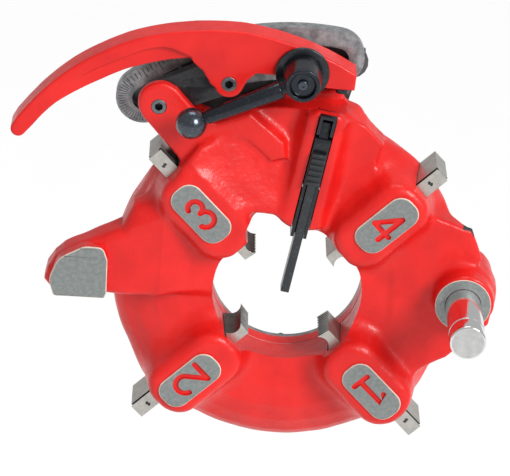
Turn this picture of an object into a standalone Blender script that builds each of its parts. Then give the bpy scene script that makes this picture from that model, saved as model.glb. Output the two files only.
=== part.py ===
"""Self-opening pipe-threading die head, modelled for Blender 4.5.

Lengths below are millimetres and are turned into metres by the helpers. Every
piece hangs from the empty "bore_frame", which sits on the bore's centre line in
the plane of the ground die pads: X right, Y to the rear, Z up. The world origin
is the mounting post's axis in that same plane.
"""

import math

import bmesh
import bpy
from mathutils import Matrix, Vector

MM = 0.001
GAP = 0.3                      # running gap between neighbouring solids

# Head casting
BORE_R = 40.0                  # opening through the head
RIM_R = 94.0
SKIRT_R = 90.0                 # inside of the skirt round the cam plate
CAVITY_Y = 37.0                # front wall of the cam cavity
REAR_Y = 47.0
FACE_Y = 1.5                   # cast face of the arms, just behind the pads
PAD_R = 69.0                   # centre of each numbered pad
PAD_LENGTH = 37.0
PAD_WIDTH = 18.0
PAD_CORNER = 7.5
ARM = (48.0, 29.0, 12.0, 68.0)         # length, width, corner and centre of an arm's face
ARM_FOOT = (54.0, 42.0, 16.0, 67.0)    # the same where it meets the dished web
ARM_FOOT_Y = 24.0
BODY_REAR = 40.0               # rear of the lumps joined to the rim
CROWN_REAR = 36.7
LUG_FRONT = 5.5
LUG_REAR = 24.0
MOUND_FRONT = 16.0
SHELF_FRONT = 19.5
TOWER_FRONT = 31.8             # thin wall that the size bar passes behind the lever
WINDOW_ANGLES = (73.5, 144.0)  # gap in the skirt for the cam's flange
CHIP_LOBE = (-14.5, 37.5, 10.3)        # x, z and radius of the scallop beside the trigger
BLOCK_SLOPE_Y = (8.5, 24.0)    # front and rear of the trigger block's tapered sides
DIE_ANGLES = {1: 315.0, 2: 225.0, 3: 135.0, 4: 45.0}

# Mounting post
POST_X = 93.0
POST_Z = 5.5
POST_R = 9.5
POST_LENGTH = 45.8
POST_SOCKET = 34.0             # depth of the post in its boss
BOSS_R = 15.0
WEB_FRONT = 14.0               # front of the web that joins the boss to the rim
SET_SCREW_Y = 20.2
SET_SCREW_R = 3.0

# Dies
DIE_WIDTH = 8.4
DIE_OFFSET = -1.0              # the dies sit this far beside the spokes through the bore axis
DIE_FRONT = 11.5
DIE_REAR = 36.7
DIE_TIP_R = 29.5
DIE_SCOOP = ((0, -3.8), (2.2, -2.0), (5.5, -1.6), (8.4, -3.1), (10.2, -5.2))
DIE_END_R = 107.0
SIDE_GROOVE = (0.7, 0.7, 0.7)  # depth, width and place behind the front of the groove along a die
WIDE_SLOT = (95.5, 124.0, -8.2)        # die 3's slot is wider from here outwards, on the ear's side
LUG_R = 78.0                   # die lug's distance from the bore axis
LUG_RADIUS = 3.5
LUG_END = 45.0

# Cam plate and size bar
SPIRAL_PITCH = 32.0            # radial travel of a die per radian of the cam
SIZE_TURN = 39.0               # degrees from this setting to the smallest pipe
OPEN_TURN = 8.0                # degrees past this setting, opening included
CAM_BORE_R = 47.8
CAM_R = 89.5
CAM_FRONT = 37.3
CAM_REAR = 46.7
FLANGE_FRONT = 41.3
FLANGE_R = 117.4
FLANGE_TO = 124.0              # angle at which the flange narrows to its left tab
TAB_R = 134.0
BAR_FROM = 82.4                # angles of the size bar's end centres
BAR_TO = 129.7
BAR_MID_R = 129.5
BAR_HALF = 14.6
SLOT_MID_R = 128.4
SLOT_HALF = 6.6
BAR_FRONT = 33.0
BAR_REAR = 41.0
BAR_SCREW_ANGLES = (77.4, 134.7)
GUARD_FRONT = 47.0
GUARD_REAR = 48.6
GUARD_HALF = 9.1
GUARD_FROM = 78.5
GUARD_TO = 132.5
GUARD_DROP = 4.5               # the guard sits this much lower than the slot it closes

# Retainer behind the cam plate
RETAINER_R = 41.0
RETAINER_TUBE_R = 47.5
RETAINER_FLANGE_R = 52.0
RETAINER_END = 49.8
RETAINER_SCREW_R = 44.3
RETAINER_SCREW_ANGLES = (0, 90, 180, 270)

# Throw-out linkage: head pivot, lever pivot and clamp axis as (x, z)
HEAD_PIVOT = (-74.3, 103.1)
LEVER_PIVOT = (-38.7, 118.0)
CLAMP_AXIS = (-1.2, 127.4)
LEVER_FRONT = 12.0
LEVER_REAR = 28.6
EAR_REAR = 31.0
RECESS_Y = 15.0                # floor of the step along the handle's lower edge
FORK_FRONT = 17.0
FORK_REAR = 26.0
EAR_CENTRE = (-73.8, 104.4)
EAR_R = 11.6
PIN_R = 4.0
STUD_R = 4.6
STOP_SCREW = (20.5, 20.0)      # x and y of the screw that ends the lever's throw
STOP_SCREW_R = 1.6
STOP_HEAD_R = 3.4

# Clamp lever
HUB_R = 10.6
WASHER_R = 14.0
BALL_R = 8.15
BALL_AT = (-57.0, -5.5, 102.0)
ARM_AXIS_Y = -1.4              # where the arm's axis meets the hub's

# Trigger, laid out along a line that leans to the right at the top
TRIGGER_PIVOT = (13.0, 97.5)
TRIGGER_LEAN = 9.05
TRIGGER_PIN_Y = 14.0
TRIGGER_HALF = 4.3
TRIGGER_PIN_R = 1.8
BRACKET = (-8.0, 9.0, 6.4, 23.4)       # from, to, front and rear along the trigger line
FORK_HALF = 2.75               # half of the room between the fork's cheeks
BRACKET_SCREWS = (-3.9, 6.2)
SWING_LEVER = (5.2, 62.5, 7.4, 19.0)
CHEEK_END = 2.8                # the fork's cheeks stop just below the pin
SWING_HEAD_HALF = 2.35
CHANNEL_HALF = 2.6
CHANNEL_REAR = 13.4
SLIDE = (19.0, 94.0, 5.2, 13.0)
SLIDE_HALF = 2.25
THUMB = (12.6, 30.6, 3.8, 7.0)
THUMB_HALF = 3.7
SERRATIONS = 5
SERRATION_FROM = 13.8
SERRATION_PITCH = 3.3
SERRATION_WIDTH = 1.6
SLIDE_SCREW = (33.4, 9.6, 1.1)         # place along the line, y and radius
SPRING_AT = 40.0


# ---------------------------------------------------------------- outlines

def arc(cx, cz, radius, start, end, steps):
    """Points on an arc, angles in degrees counter-clockwise from +X."""
    points = []
    for i in range(steps + 1):
        angle = math.radians(start + (end - start) * i / steps)
        points.append((cx + radius * math.cos(angle), cz + radius * math.sin(angle)))
    return points


def rounded(corners, steps=5):
    """Closed outline from (x, z, radius) corners, each radius a true arc."""
    points = []
    count = len(corners)
    for i, (x, z, radius) in enumerate(corners):
        here = Vector((x, z))
        before = Vector(corners[i - 1][:2]) - here
        after = Vector(corners[(i + 1) % count][:2]) - here
        if radius <= 0:
            points.append((x, z))
            continue
        half = before.angle(after) / 2
        reach = min(radius / math.tan(half), 0.49 * min(before.length, after.length))
        true_radius = reach * math.tan(half)
        middle = (before.normalized() + after.normalized()).normalized()
        centre = here + middle * (true_radius / math.sin(half))
        first = here + before.normalized() * reach - centre
        last = here + after.normalized() * reach - centre
        turn = first.angle_signed(last)
        for k in range(steps + 1):
            spoke = first.copy()
            spoke.rotate(Matrix.Rotation(-turn * k / steps, 2))
            points.append(tuple(centre + spoke))
    return points


def slab(length, width, corner, angle, radius, steps=5):
    """Rounded rectangle whose length lies along a spoke of the bore."""
    a, b = length / 2, width / 2
    local = rounded([(-a, -b, corner), (a, -b, corner), (a, b, corner), (-a, b, corner)], steps)
    return turned_points(local, angle, radius)


def turned_points(points, angle, radius):
    """Local (along, across) points moved out along a spoke of the bore."""
    c, s = math.cos(math.radians(angle)), math.sin(math.radians(angle))
    return [((radius + p) * c - q * s, (radius + p) * s + q * c) for p, q in points]


def ring_slot(mid, half, start, end, steps=16):
    """A curved slot concentric with the bore, with round ends."""
    def end_centre(angle):
        turn = math.radians(angle)
        return mid * math.cos(turn), mid * math.sin(turn)
    outline = arc(0, 0, mid + half, start, end, steps)
    outline += arc(*end_centre(end), half, end, end + 180, 8)[1:-1]
    outline += arc(0, 0, mid - half, end, start, steps)
    outline += arc(*end_centre(start), half, start + 180, start + 360, 8)[1:-1]
    return outline


def sector(inner, outer, start, end, steps=12):
    return arc(0, 0, outer, start, end, steps) + arc(0, 0, inner, end, start, steps)


# ---------------------------------------------------------------- builders

def clear_scene():
    for obj in list(bpy.data.objects):
        bpy.data.objects.remove(obj, do_unlink=True)


def make_material(name, colour, roughness, metallic):
    material = bpy.data.materials.new(name)
    material.use_nodes = True
    shader = material.node_tree.nodes["Principled BSDF"]
    shader.inputs["Base Color"].default_value = (*colour, 1.0)
    shader.inputs["Roughness"].default_value = roughness
    shader.inputs["Metallic"].default_value = metallic
    return material


def make_collection(name):
    collection = bpy.data.collections.new(name)
    bpy.context.scene.collection.children.link(collection)
    return collection


def add_object(name, mesh, at=(0, 0, 0), material=None):
    """Link a mesh under the bore frame; without a material it is a cutter."""
    obj = bpy.data.objects.new(name, mesh)
    obj.location = Vector(at) * MM
    obj.parent = bore_frame
    if material is None:
        cutters.objects.link(obj)
        obj.hide_render = True
        obj.display_type = "WIRE"
    else:
        parts.objects.link(obj)
        obj.data.materials.append(material)
        mesh.shade_smooth()
        mesh.set_sharp_from_angle(angle=math.radians(35))
    return obj


def mesh_from(bm, name):
    bmesh.ops.remove_doubles(bm, verts=bm.verts, dist=0.00002)
    bmesh.ops.recalc_face_normals(bm, faces=bm.faces)
    mesh = bpy.data.meshes.new(name)
    bm.to_mesh(mesh)
    bm.free()
    return mesh


def plate(name, outlines, front, rear, material=None, origin=(0, 0)):
    """Flat outline (and holes) in the XZ plane, thick from front to rear."""
    curve = bpy.data.curves.new(name + "_outline", "CURVE")
    curve.dimensions = "2D"
    curve.fill_mode = "BOTH"
    curve.extrude = (rear - front) / 2 * MM
    for outline in outlines:
        spline = curve.splines.new("POLY")
        spline.points.add(len(outline) - 1)
        for point, (x, z) in zip(spline.points, outline):
            point.co = ((x - origin[0]) * MM, (z - origin[1]) * MM, 0, 1)
        spline.use_cyclic_u = True
    sketch = bpy.data.objects.new(name + "_sketch", curve)
    cutters.objects.link(sketch)
    bpy.context.view_layer.update()
    evaluated = sketch.evaluated_get(bpy.context.evaluated_depsgraph_get())
    flat = bpy.data.meshes.new_from_object(evaluated)
    bpy.data.objects.remove(sketch, do_unlink=True)
    bm = bmesh.new()
    bm.from_mesh(flat)
    bmesh.ops.rotate(bm, verts=bm.verts, matrix=Matrix.Rotation(math.pi / 2, 3, "X"))
    mesh = mesh_from(bm, name)
    return add_object(name, mesh, (origin[0], (front + rear) / 2, origin[1]), material)


def tapered(name, front_outline, front, rear_outline, rear, material=None):
    """Loft between two like outlines in parallel planes."""
    bm = bmesh.new()
    rings = []
    for outline, y in ((front_outline, front), (rear_outline, rear)):
        rings.append([bm.verts.new((x * MM, y * MM, z * MM)) for x, z in outline])
    count = len(rings[0])
    for i in range(count):
        j = (i + 1) % count
        bm.faces.new((rings[0][i], rings[0][j], rings[1][j], rings[1][i]))
    bm.faces.new(rings[0])
    bm.faces.new(rings[1])
    return add_object(name, mesh_from(bm, name), (0, 0, 0), material)


def turned(name, profile, material=None, at=(0, 0), steps=32, closed=False):
    """Profile of (y, radius) turned about a line along Y through `at`."""
    mesh = bpy.data.meshes.new(name)
    points = [(radius * MM, 0, -y * MM) for y, radius in profile]
    edges = [(i, i + 1) for i in range(len(points) - 1)]
    if closed:
        edges.append((len(points) - 1, 0))
    mesh.from_pydata(points, edges, [])
    obj = add_object(name, mesh, (at[0], 0, at[1]), material)
    obj.rotation_euler = (math.pi / 2, 0, 0)
    screw = obj.modifiers.new("turn", "SCREW")
    screw.steps = steps
    screw.render_steps = steps
    screw.use_merge_vertices = True
    screw.merge_threshold = 0.00001
    screw.use_smooth_shade = True
    return obj


def rod(name, start, end, radius, material=None, end_radius=None, segments=24):
    """Round bar between two (x, y, z) points; its origin is at the first."""
    first, last = Vector(start), Vector(end)
    along = last - first
    bm = bmesh.new()
    bmesh.ops.create_cone(bm, cap_ends=True, segments=segments, radius1=radius * MM,
                          radius2=(end_radius or radius) * MM, depth=along.length * MM)
    turn = Vector((0, 0, 1)).rotation_difference(along).to_matrix()
    bmesh.ops.translate(bm, verts=bm.verts, vec=(0, 0, along.length * MM / 2))
    bmesh.ops.rotate(bm, verts=bm.verts, matrix=turn)
    return add_object(name, mesh_from(bm, name), start, material)


def block(name, size, at, material=None, lean=0.0):
    """Box centred on `at`, leaning clockwise about Y by `lean` degrees."""
    bm = bmesh.new()
    bmesh.ops.create_cube(bm, size=1.0)
    bmesh.ops.scale(bm, verts=bm.verts, vec=Vector(size) * MM)
    obj = add_object(name, mesh_from(bm, name), at, material)
    obj.rotation_euler = (0, math.radians(lean), 0)
    return obj


def boolean(target, other, operation):
    modifier = target.modifiers.new(operation.lower() + "_" + other.name, "BOOLEAN")
    modifier.operation = operation
    modifier.object = other
    modifier.solver = "EXACT"


def join(target, *others):
    for other in others:
        boolean(target, other, "UNION")


def cut(target, *others):
    for other in others:
        boolean(target, other, "DIFFERENCE")


def spoke(angle, radius, across=0.0):
    """(x, z) at a radius along a spoke, then sideways from it."""
    turn = math.radians(angle)
    return (radius * math.cos(turn) - across * math.sin(turn),
            radius * math.sin(turn) + across * math.cos(turn))


def on_trigger(along, across=0.0):
    """(x, z) a distance down the trigger line from its pivot."""
    turn = math.radians(TRIGGER_LEAN)
    x, z = TRIGGER_PIVOT
    return (x - along * math.sin(turn) + across * math.cos(turn),
            z - along * math.cos(turn) - across * math.sin(turn))


# ---------------------------------------------------------------- head casting

def add_arms(head):
    """Four raised arms over the dies, each with a ground pad on its face."""
    for number, angle in DIE_ANGLES.items():
        front = slab(*ARM[:3], angle, ARM[3])
        rear = slab(*ARM_FOOT[:3], angle, ARM_FOOT[3])
        arm = tapered(f"arm_{number}_solid", front, FACE_Y, rear, ARM_FOOT_Y)
        pad = plate(f"pad_{number}_solid", [slab(PAD_LENGTH, PAD_WIDTH, PAD_CORNER, angle, PAD_R)],
                    0, FACE_Y + 3)
        join(head, arm, pad)


def add_post_boss(head):
    boss = turned("boss_solid", [(0, 0), (0, BOSS_R), (2, BOSS_R + 1), (26, BOSS_R + 3),
                                 (BODY_REAR, BOSS_R + 3), (BODY_REAR, 0)], at=(POST_X, POST_Z))
    web = plate("boss_web_solid", [rounded([
        (60, 50, 0), (80, 48, 4), (90.5, 43.8, 2), (95.5, 42.8, 2), (102.6, 25.6, 2), (98, 22, 2), (109, 14, 8),
        (109, -8, 8), (84, -28, 6), (60, -40, 0)])], WEB_FRONT, BODY_REAR)
    join(head, boss, web)


def add_rest_lug(head):
    """Lug on the left that lies on the carriage's rest, with its ground face."""
    front = [(-64, -3.2), (-124.5, -3.2), (-128.5, 2.5), (-127.3, 9.5), (-124, 16.2), (-119.5, 21),
             (-113.5, 25), (-105, 27.8), (-79, 40), (-64, 44)]
    rear = [(-64, -3.2), (-124.9, -3.2), (-130, 2.5), (-128.2, 8.5), (-124.6, 15.2), (-120.2, 19.3),
            (-113.6, 22.9), (-105, 27.8), (-86, 44), (-64, 60)]
    face = [(-97.2, -3.0, 0), (-124, -3.0, 2), (-127, 6, 9), (-122.4, 18.6, 12), (-109, 26.2, 9),
            (-99, 26, 4), (-96.4, 19, 6), (-96, -0.4, 0)]
    lug = tapered("rest_lug_solid", front, LUG_FRONT, rear, LUG_REAR)
    pad = plate("rest_lug_face_solid", [rounded(face)], 0, LUG_FRONT + 2)
    join(head, lug, pad)


def add_crown(head):
    """Ear for the link, the mound and shelf above the bore, and the stop tower behind."""
    ear = arc(*EAR_CENTRE, EAR_R, 222, 48, 9)
    crease = [(-14, 76), (-20.4, 81.9), (-27.3, 87.3), (-34.4, 89), (-43, 86.3), (-51, 82.5)]
    band_outline = ear + [(-52, 98.6), (-44, 95.5), (-14, 96)] + crease + [(-57, 68)]
    band = plate("crown_band_solid", [band_outline], LEVER_FRONT, CROWN_REAR)
    mound = plate("crown_mound_solid", [crease + [(-58, 70), (-56, 60), (-40, 56), (-8, 52), (-11, 72)]],
                  MOUND_FRONT, CROWN_REAR - 0.2)
    shelf_outline = [(-18, 90), (-14, 104.2), (9, 104.2), (14, 103.4), (23, 101.8), (35, 95.8), (45, 86),
                     (36, 60), (-16, 60)]
    shelf = plate("crown_shelf_solid", [shelf_outline], SHELF_FRONT, CROWN_REAR - 0.1)
    wall = plate("crown_wall_solid", [rounded([(-14, 90, 0), (-14, 110.5, 3), (22.3, 110.5, 2), (24, 98, 4),
                                               (30, 86, 0)])], TOWER_FRONT, CROWN_REAR)
    join(head, band, mound, shelf, wall)
    fork_room = plate("ear_fork_cutter", [rounded([
        (-96, 125, 0), (-96, 95, 0), (-84, 90, 6), (-68, 90.5, 6), (-40, 103, 0), (-40, 125, 0)])],
        FORK_FRONT, FORK_REAR)
    x, z = HEAD_PIVOT
    pin_hole = rod("ear_pin_hole", (x, 5, z), (x, EAR_REAR + 0.4, z), PIN_R + GAP)
    rear_trim = plate("ear_rear_trim", [[(-100, 125), (-100, 76), (-70, 70), (-42, 92), (-42, 125)]],
                      EAR_REAR, CROWN_REAR + 0.8)
    cheek_outline = [(-100, 125), (-100, 99), (-83, 99), (-81.2, 106.6), (-74.3, 110.2), (-62, 110.2),
                     (-42, 104), (-42, 125)]
    cheek_trim = plate("ear_cheek_trim", [cheek_outline], FORK_REAR - 0.1, CROWN_REAR + 0.8)
    cut(head, fork_room, pin_hole, rear_trim, cheek_trim)


def add_trigger_block(head):
    """Tapered block over the top of the bore, grooved for the trigger."""
    front = [on_trigger(-7.5, -10.5), on_trigger(-7.5, 7.5), on_trigger(10, 9.5), on_trigger(56, 10.5),
             on_trigger(63, 8), on_trigger(63, -7)]
    rear = [on_trigger(-7.5, -15.5), on_trigger(-7.5, 13), on_trigger(10, 15), on_trigger(52, 16.5),
            on_trigger(60, 12), on_trigger(60, -11)]
    solid = tapered("trigger_block_solid", front, BLOCK_SLOPE_Y[0], rear, BLOCK_SLOPE_Y[1])
    mid = on_trigger(28)
    groove = block("trigger_groove_cutter", (2 * TRIGGER_HALF + 1.4, 26, 90), (mid[0], 11, mid[1]),
                   lean=TRIGGER_LEAN)
    join(head, solid)
    cut(head, groove)
    for i, along in enumerate(BRACKET_SCREWS):
        x, z = on_trigger(along)
        cut(head, rod(f"block_screw_hole_{i + 1}", (x, 20, z), (x, 30, z), 1.0 + GAP, segments=12))


def slot_cutter(name, angle, inner, outer, low, high):
    """Box along a spoke, from the dies' front to the cam, between two distances beside the spoke."""
    x, z = spoke(angle, (inner + outer) / 2, (low + high) / 2)
    front, rear = DIE_FRONT - GAP, CAVITY_Y + 1
    return block(name, (outer - inner, rear - front, high - low), (x, (front + rear) / 2, z), lean=-angle)


def cut_die_slots(head):
    low, high = DIE_OFFSET - DIE_WIDTH / 2 - GAP, DIE_OFFSET + DIE_WIDTH / 2 + GAP
    for number, angle in DIE_ANGLES.items():
        cut(head, slot_cutter(f"die_slot_{number}_cutter", angle, 24, 124, low, high))
    inner, outer, edge = WIDE_SLOT
    cut(head, slot_cutter("wide_slot_cutter", DIE_ANGLES[3], inner, outer, edge, 0))


def make_head():
    profile = [(19.5, BORE_R), (17, 46), (16.5, 58), (18, 70), (21.5, 80), (26, 88), (30.5, 92.5), (35, RIM_R),
               (REAR_Y, RIM_R), (REAR_Y, SKIRT_R), (CAVITY_Y, SKIRT_R), (CAVITY_Y, RETAINER_R)]
    head = turned("head", profile, red_paint, steps=72, closed=True)
    add_arms(head)
    add_post_boss(head)
    add_rest_lug(head)
    add_crown(head)
    add_trigger_block(head)
    cut_die_slots(head)
    bore = turned("bore_cutter", [(-5, 0), (-5, BORE_R), (22, BORE_R), (CAVITY_Y + 1, RETAINER_R),
                                  (CAVITY_Y + 1, 0)], steps=72)
    lobe_x, lobe_z, lobe_r = CHIP_LOBE
    lobe = rod("chip_lobe_cutter", (lobe_x, -5, lobe_z), (lobe_x, 45, lobe_z), lobe_r)
    cavity_profile = [(CAVITY_Y, 0), (CAVITY_Y, SKIRT_R), (REAR_Y + 2, SKIRT_R), (REAR_Y + 2, 0)]
    cavity = turned("cavity_cutter", cavity_profile, steps=72)
    window = plate("flange_window_cutter", [sector(SKIRT_R - 4, 150, *WINDOW_ANGLES, 16)],
                   FLANGE_FRONT - GAP, REAR_Y + 2)
    socket = rod("post_socket_cutter", (POST_X, -2, POST_Z), (POST_X, POST_SOCKET + GAP, POST_Z), POST_R + GAP,
                 segments=30)
    set_screw = rod("set_screw_hole", (125, SET_SCREW_Y, POST_Z), (POST_X + POST_R - 2, SET_SCREW_Y, POST_Z),
                    SET_SCREW_R + GAP, segments=14)
    cut(head, bore, lobe, cavity, window, socket, set_screw)
    for i, angle in enumerate(RETAINER_SCREW_ANGLES):
        x, z = spoke(angle, RETAINER_SCREW_R)
        cut(head, rod(f"retainer_screw_hole_{i + 1}", (x, 27, z), (x, 40, z), 2.0, segments=12))
    return head


# ---------------------------------------------------------------- fixed pieces

def make_post():
    end = -POST_LENGTH
    turned("mounting_post", [(end, 0), (end, POST_R - 1.2), (end + 1.2, POST_R), (end + 10, POST_R),
                             (end + 10.3, POST_R - 0.4), (end + 11.1, POST_R - 0.4), (end + 11.4, POST_R),
                             (POST_SOCKET, POST_R), (POST_SOCKET, 0)], chrome, (POST_X, POST_Z), steps=48)
    screw = rod("post_set_screw", (110.4, SET_SCREW_Y, POST_Z), (POST_X + POST_R + GAP, SET_SCREW_Y, POST_Z),
                SET_SCREW_R, black_oxide)
    hex_hole = rod("set_screw_hex", (112, SET_SCREW_Y, POST_Z), (107.5, SET_SCREW_Y, POST_Z), 1.7, segments=6)
    cut(screw, hex_hole)


def make_retainer():
    """Collar through the cam plate's bore, screwed to the back of the head."""
    retainer = turned("cam_retainer", [(CAVITY_Y + GAP, RETAINER_R), (CAVITY_Y + GAP, RETAINER_TUBE_R),
                                       (REAR_Y, RETAINER_TUBE_R), (REAR_Y, RETAINER_FLANGE_R),
                                       (RETAINER_END, RETAINER_FLANGE_R), (RETAINER_END, RETAINER_R)],
                      ground_steel, steps=64, closed=True)
    for i, angle in enumerate(RETAINER_SCREW_ANGLES):
        x, z = spoke(angle, RETAINER_SCREW_R)
        cut(retainer, rod(f"retainer_hole_{i + 1}", (x, 30, z), (x, 55, z), 1.7 + GAP, segments=12))
        screw = turned(f"retainer_screw_{i + 1}",
                       [(28, 0), (28, 1.6), (RETAINER_END + GAP, 1.6), (RETAINER_END + GAP, 3.0),
                        (RETAINER_END + 2.2, 2.6), (RETAINER_END + 2.2, 0)], black_oxide, (x, z), steps=16)
        cut(screw, rod(f"retainer_screw_hex_{i + 1}", (x, 51, z), (x, 56, z), 1.2, segments=6))


# ---------------------------------------------------------------- cam and dies

def spiral(angle, offset):
    """One wall of a cam slot: the radius falls as the angle grows."""
    points = []
    steps = 18
    for i in range(steps + 1):
        turn = -OPEN_TURN + (SIZE_TURN + OPEN_TURN) * i / steps
        radius = LUG_R - SPIRAL_PITCH * math.radians(turn) + offset
        points.append(spoke(angle + turn, radius))
    return points


def spiral_slot(angle):
    half = LUG_RADIUS + 0.5
    low_x, low_z = spoke(angle + SIZE_TURN, LUG_R - SPIRAL_PITCH * math.radians(SIZE_TURN))
    high_x, high_z = spoke(angle - OPEN_TURN, LUG_R + SPIRAL_PITCH * math.radians(OPEN_TURN))
    outline = spiral(angle, half)
    outline += arc(low_x, low_z, half, angle + SIZE_TURN, angle + SIZE_TURN + 180, 6)[1:-1]
    outline += spiral(angle, -half)[::-1]
    outline += arc(high_x, high_z, half, angle - OPEN_TURN + 180, angle - OPEN_TURN + 360, 6)[1:-1]
    return outline


def make_cam_plate():
    cam = turned("cam_plate", [(CAM_FRONT, CAM_BORE_R), (CAM_FRONT, CAM_R), (CAM_REAR, CAM_R),
                               (CAM_REAR, CAM_BORE_R)], cast_steel, steps=72, closed=True)
    outline = arc(0, 0, TAB_R, 76, 78.4, 2) + arc(0, 0, FLANGE_R, 78.4, FLANGE_TO - 8, 10)
    outline += arc(0, 0, TAB_R - 2, FLANGE_TO - 4, 135.8, 5) + arc(0, 0, FLANGE_R + 2, 135.8, FLANGE_TO + 3, 4)
    outline += arc(0, 0, CAM_R - 6, FLANGE_TO, 76, 12)
    flange = plate("cam_flange_solid", [outline], FLANGE_FRONT, CAM_REAR - 0.1)
    join(cam, flange)
    for number, angle in DIE_ANGLES.items():
        cut(cam, plate(f"cam_slot_{number}_cutter", [spiral_slot(angle)], CAM_FRONT - 2, CAM_REAR + 2))
    return cam


def make_size_bar():
    """Slotted bar that the lever is clamped to, and the guard behind its slot."""
    outline = ring_slot(BAR_MID_R, BAR_HALF, BAR_FROM, BAR_TO)
    slot = ring_slot(SLOT_MID_R, SLOT_HALF, BAR_FROM, BAR_TO)
    bar = plate("size_bar", [outline, slot[::-1]], BAR_FRONT, BAR_REAR, ground_steel)
    closed = [(x, z - GUARD_DROP) for x, z in ring_slot(SLOT_MID_R, GUARD_HALF, GUARD_FROM, GUARD_TO)]
    guard = plate("slot_guard", [closed], GUARD_FRONT, GUARD_REAR, cast_steel)
    return bar, guard


def make_bar_screws(cam, bar, guard):
    """Screws from behind, through the guard and the cam's tabs into the bar's ends."""
    for i, angle in enumerate(BAR_SCREW_ANGLES):
        x, z = spoke(angle, BAR_MID_R)
        cut(cam, rod(f"cam_tab_hole_{i + 1}", (x, 38, z), (x, 50, z), 1.5, segments=12))
        cut(guard, rod(f"guard_hole_{i + 1}", (x, 45, z), (x, 52, z), 1.5, segments=12))
        cut(bar, rod(f"bar_screw_hole_{i + 1}", (x, BAR_FRONT + 2, z), (x, 45, z), 1.5, segments=12))
        head = GUARD_REAR + GAP
        turned(f"size_bar_screw_{i + 1}", [(BAR_FRONT + 2.3, 0), (BAR_FRONT + 2.3, 1.2), (head, 1.2),
                                           (head, 2.6), (head + 1.7, 2.2), (head + 1.7, 0)],
               black_oxide, (x, z), steps=16)


def make_die(number, angle):
    """Chaser: a flat block with a blunt tip scooped on one flank, a groove in each side and a cam lug."""
    low, high = DIE_OFFSET - DIE_WIDTH / 2, DIE_OFFSET + DIE_WIDTH / 2
    scoop = [(DIE_TIP_R + along, across) for along, across in DIE_SCOOP]
    side = scoop + [(DIE_END_R, low), (DIE_END_R, high), (DIE_TIP_R + 0.8, high)]
    outline = turned_points(side, angle, 0)
    die = plate(f"die_{number}", [outline], DIE_FRONT, DIE_REAR, die_steel, origin=spoke(angle, DIE_TIP_R))
    lug_x, lug_z = spoke(angle, LUG_R)
    lug = rod(f"die_{number}_lug_solid", (lug_x, DIE_REAR - 2, lug_z), (lug_x, LUG_END, lug_z), LUG_RADIUS,
              segments=20)
    join(die, lug)
    depth, width, behind = SIDE_GROOVE
    length = DIE_END_R - DIE_TIP_R - 12
    y = DIE_FRONT + behind + width / 2
    for edge in (low, high):
        x, z = spoke(angle, DIE_END_R - length / 2 + 1, edge)
        cut(die, block(f"die_{number}_groove_{'low' if edge == low else 'high'}", (length, width, 2 * depth),
                       (x, y, z), lean=-angle))


# ---------------------------------------------------------------- throw-out lever

def smooth(points, steps=3):
    """Curve through open points, by Catmull-Rom."""
    knots = [Vector(point) for point in points]
    curve = []
    for i in range(len(knots) - 1):
        before, here, there, after = (knots[max(i - 1, 0)], knots[i], knots[i + 1],
                                      knots[min(i + 2, len(knots) - 1)])
        for k in range(steps):
            t = k / steps
            curve.append(tuple(0.5 * (2 * here + (there - before) * t
                                      + (2 * before - 5 * here + 4 * there - after) * t ** 2
                                      + (3 * here - before - 3 * there + after) * t ** 3)))
    curve.append(tuple(knots[-1]))
    return curve


def lever_outline():
    """Side view of the lever: block at the clamp, long back, rounded tip, lobe round the pivot."""
    back = smooth([(19, 131.8), (9.8, 136.1), (-1.9, 140.4), (-15.7, 144.2), (-31.3, 146.9), (-45, 147.2),
                   (-60, 146), (-76.4, 143), (-92.5, 137.8), (-108.6, 129.5), (-120.7, 121.4), (-132.6, 110.6),
                   (-141, 101), (-148, 91.8)])
    tip = arc(-146.9, 85.4, 4.0, 150, 320, 6)
    belly = smooth([(-139.6, 88), (-134.8, 94.2), (-127.9, 101.4), (-119.9, 107.2), (-110, 113), (-92, 121.8),
                    (-73.9, 127.6), (-60, 130.2)])
    lobe = [(-52.6, 124.2), (-48.2, 117)] + arc(*LEVER_PIVOT, 7.6, 200, 330, 7)
    foot = [(-29.3, 120.5), (-25, 124.6), (-16, 124.4), (0, 119.5), (13, 118.8), (26.6, 118.5), (27, 127.4)]
    return back + tip + belly + lobe + foot


def make_lever():
    lever = plate("throwout_lever", [lever_outline()], LEVER_FRONT, LEVER_REAR, red_paint,
                  origin=LEVER_PIVOT)
    step = [(-113, 118.8), (-108.1, 121.7), (-96.1, 127.8), (-88, 131.9), (-81.6, 134.5), (-74.3, 135.9),
            (-67.6, 135), (-59.2, 131.7)]
    recess = plate("lever_recess_cutter", [smooth(step) + [(-59.2, 112), (-113, 100)]],
                   LEVER_FRONT - 3, RECESS_Y)
    link_room = plate("lever_fork_cutter", [rounded([
        (-90, 100, 0), (-26.5, 100, 0), (-26.5, 124, 6), (-34, 135, 8), (-62, 134.5, 6), (-84, 122, 3)])],
        FORK_FRONT, FORK_REAR)
    x, z = LEVER_PIVOT
    pin_hole = rod("lever_pin_hole", (x, 5, z), (x, LEVER_REAR - 1, z), PIN_R + GAP)
    stud_hole = rod("clamp_stud_hole", (CLAMP_AXIS[0], 5, CLAMP_AXIS[1]), (CLAMP_AXIS[0], 40, CLAMP_AXIS[1]),
                    STUD_R + GAP)
    stop_x, stop_y = STOP_SCREW
    stop_hole = rod("stop_screw_hole", (stop_x, stop_y, 110), (stop_x, stop_y, 125.3), STOP_SCREW_R + GAP,
                    segments=12)
    cut(lever, recess, link_room, pin_hole, stud_hole, stop_hole)
    screw = rod("lever_stop_screw", (stop_x, stop_y, 125), (stop_x, stop_y, 117), STOP_SCREW_R, black_oxide,
                segments=16)
    join(screw, rod("stop_screw_head_solid", (stop_x, stop_y, 117.6), (stop_x, stop_y, 114.6), STOP_HEAD_R,
                    segments=16))


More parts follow.
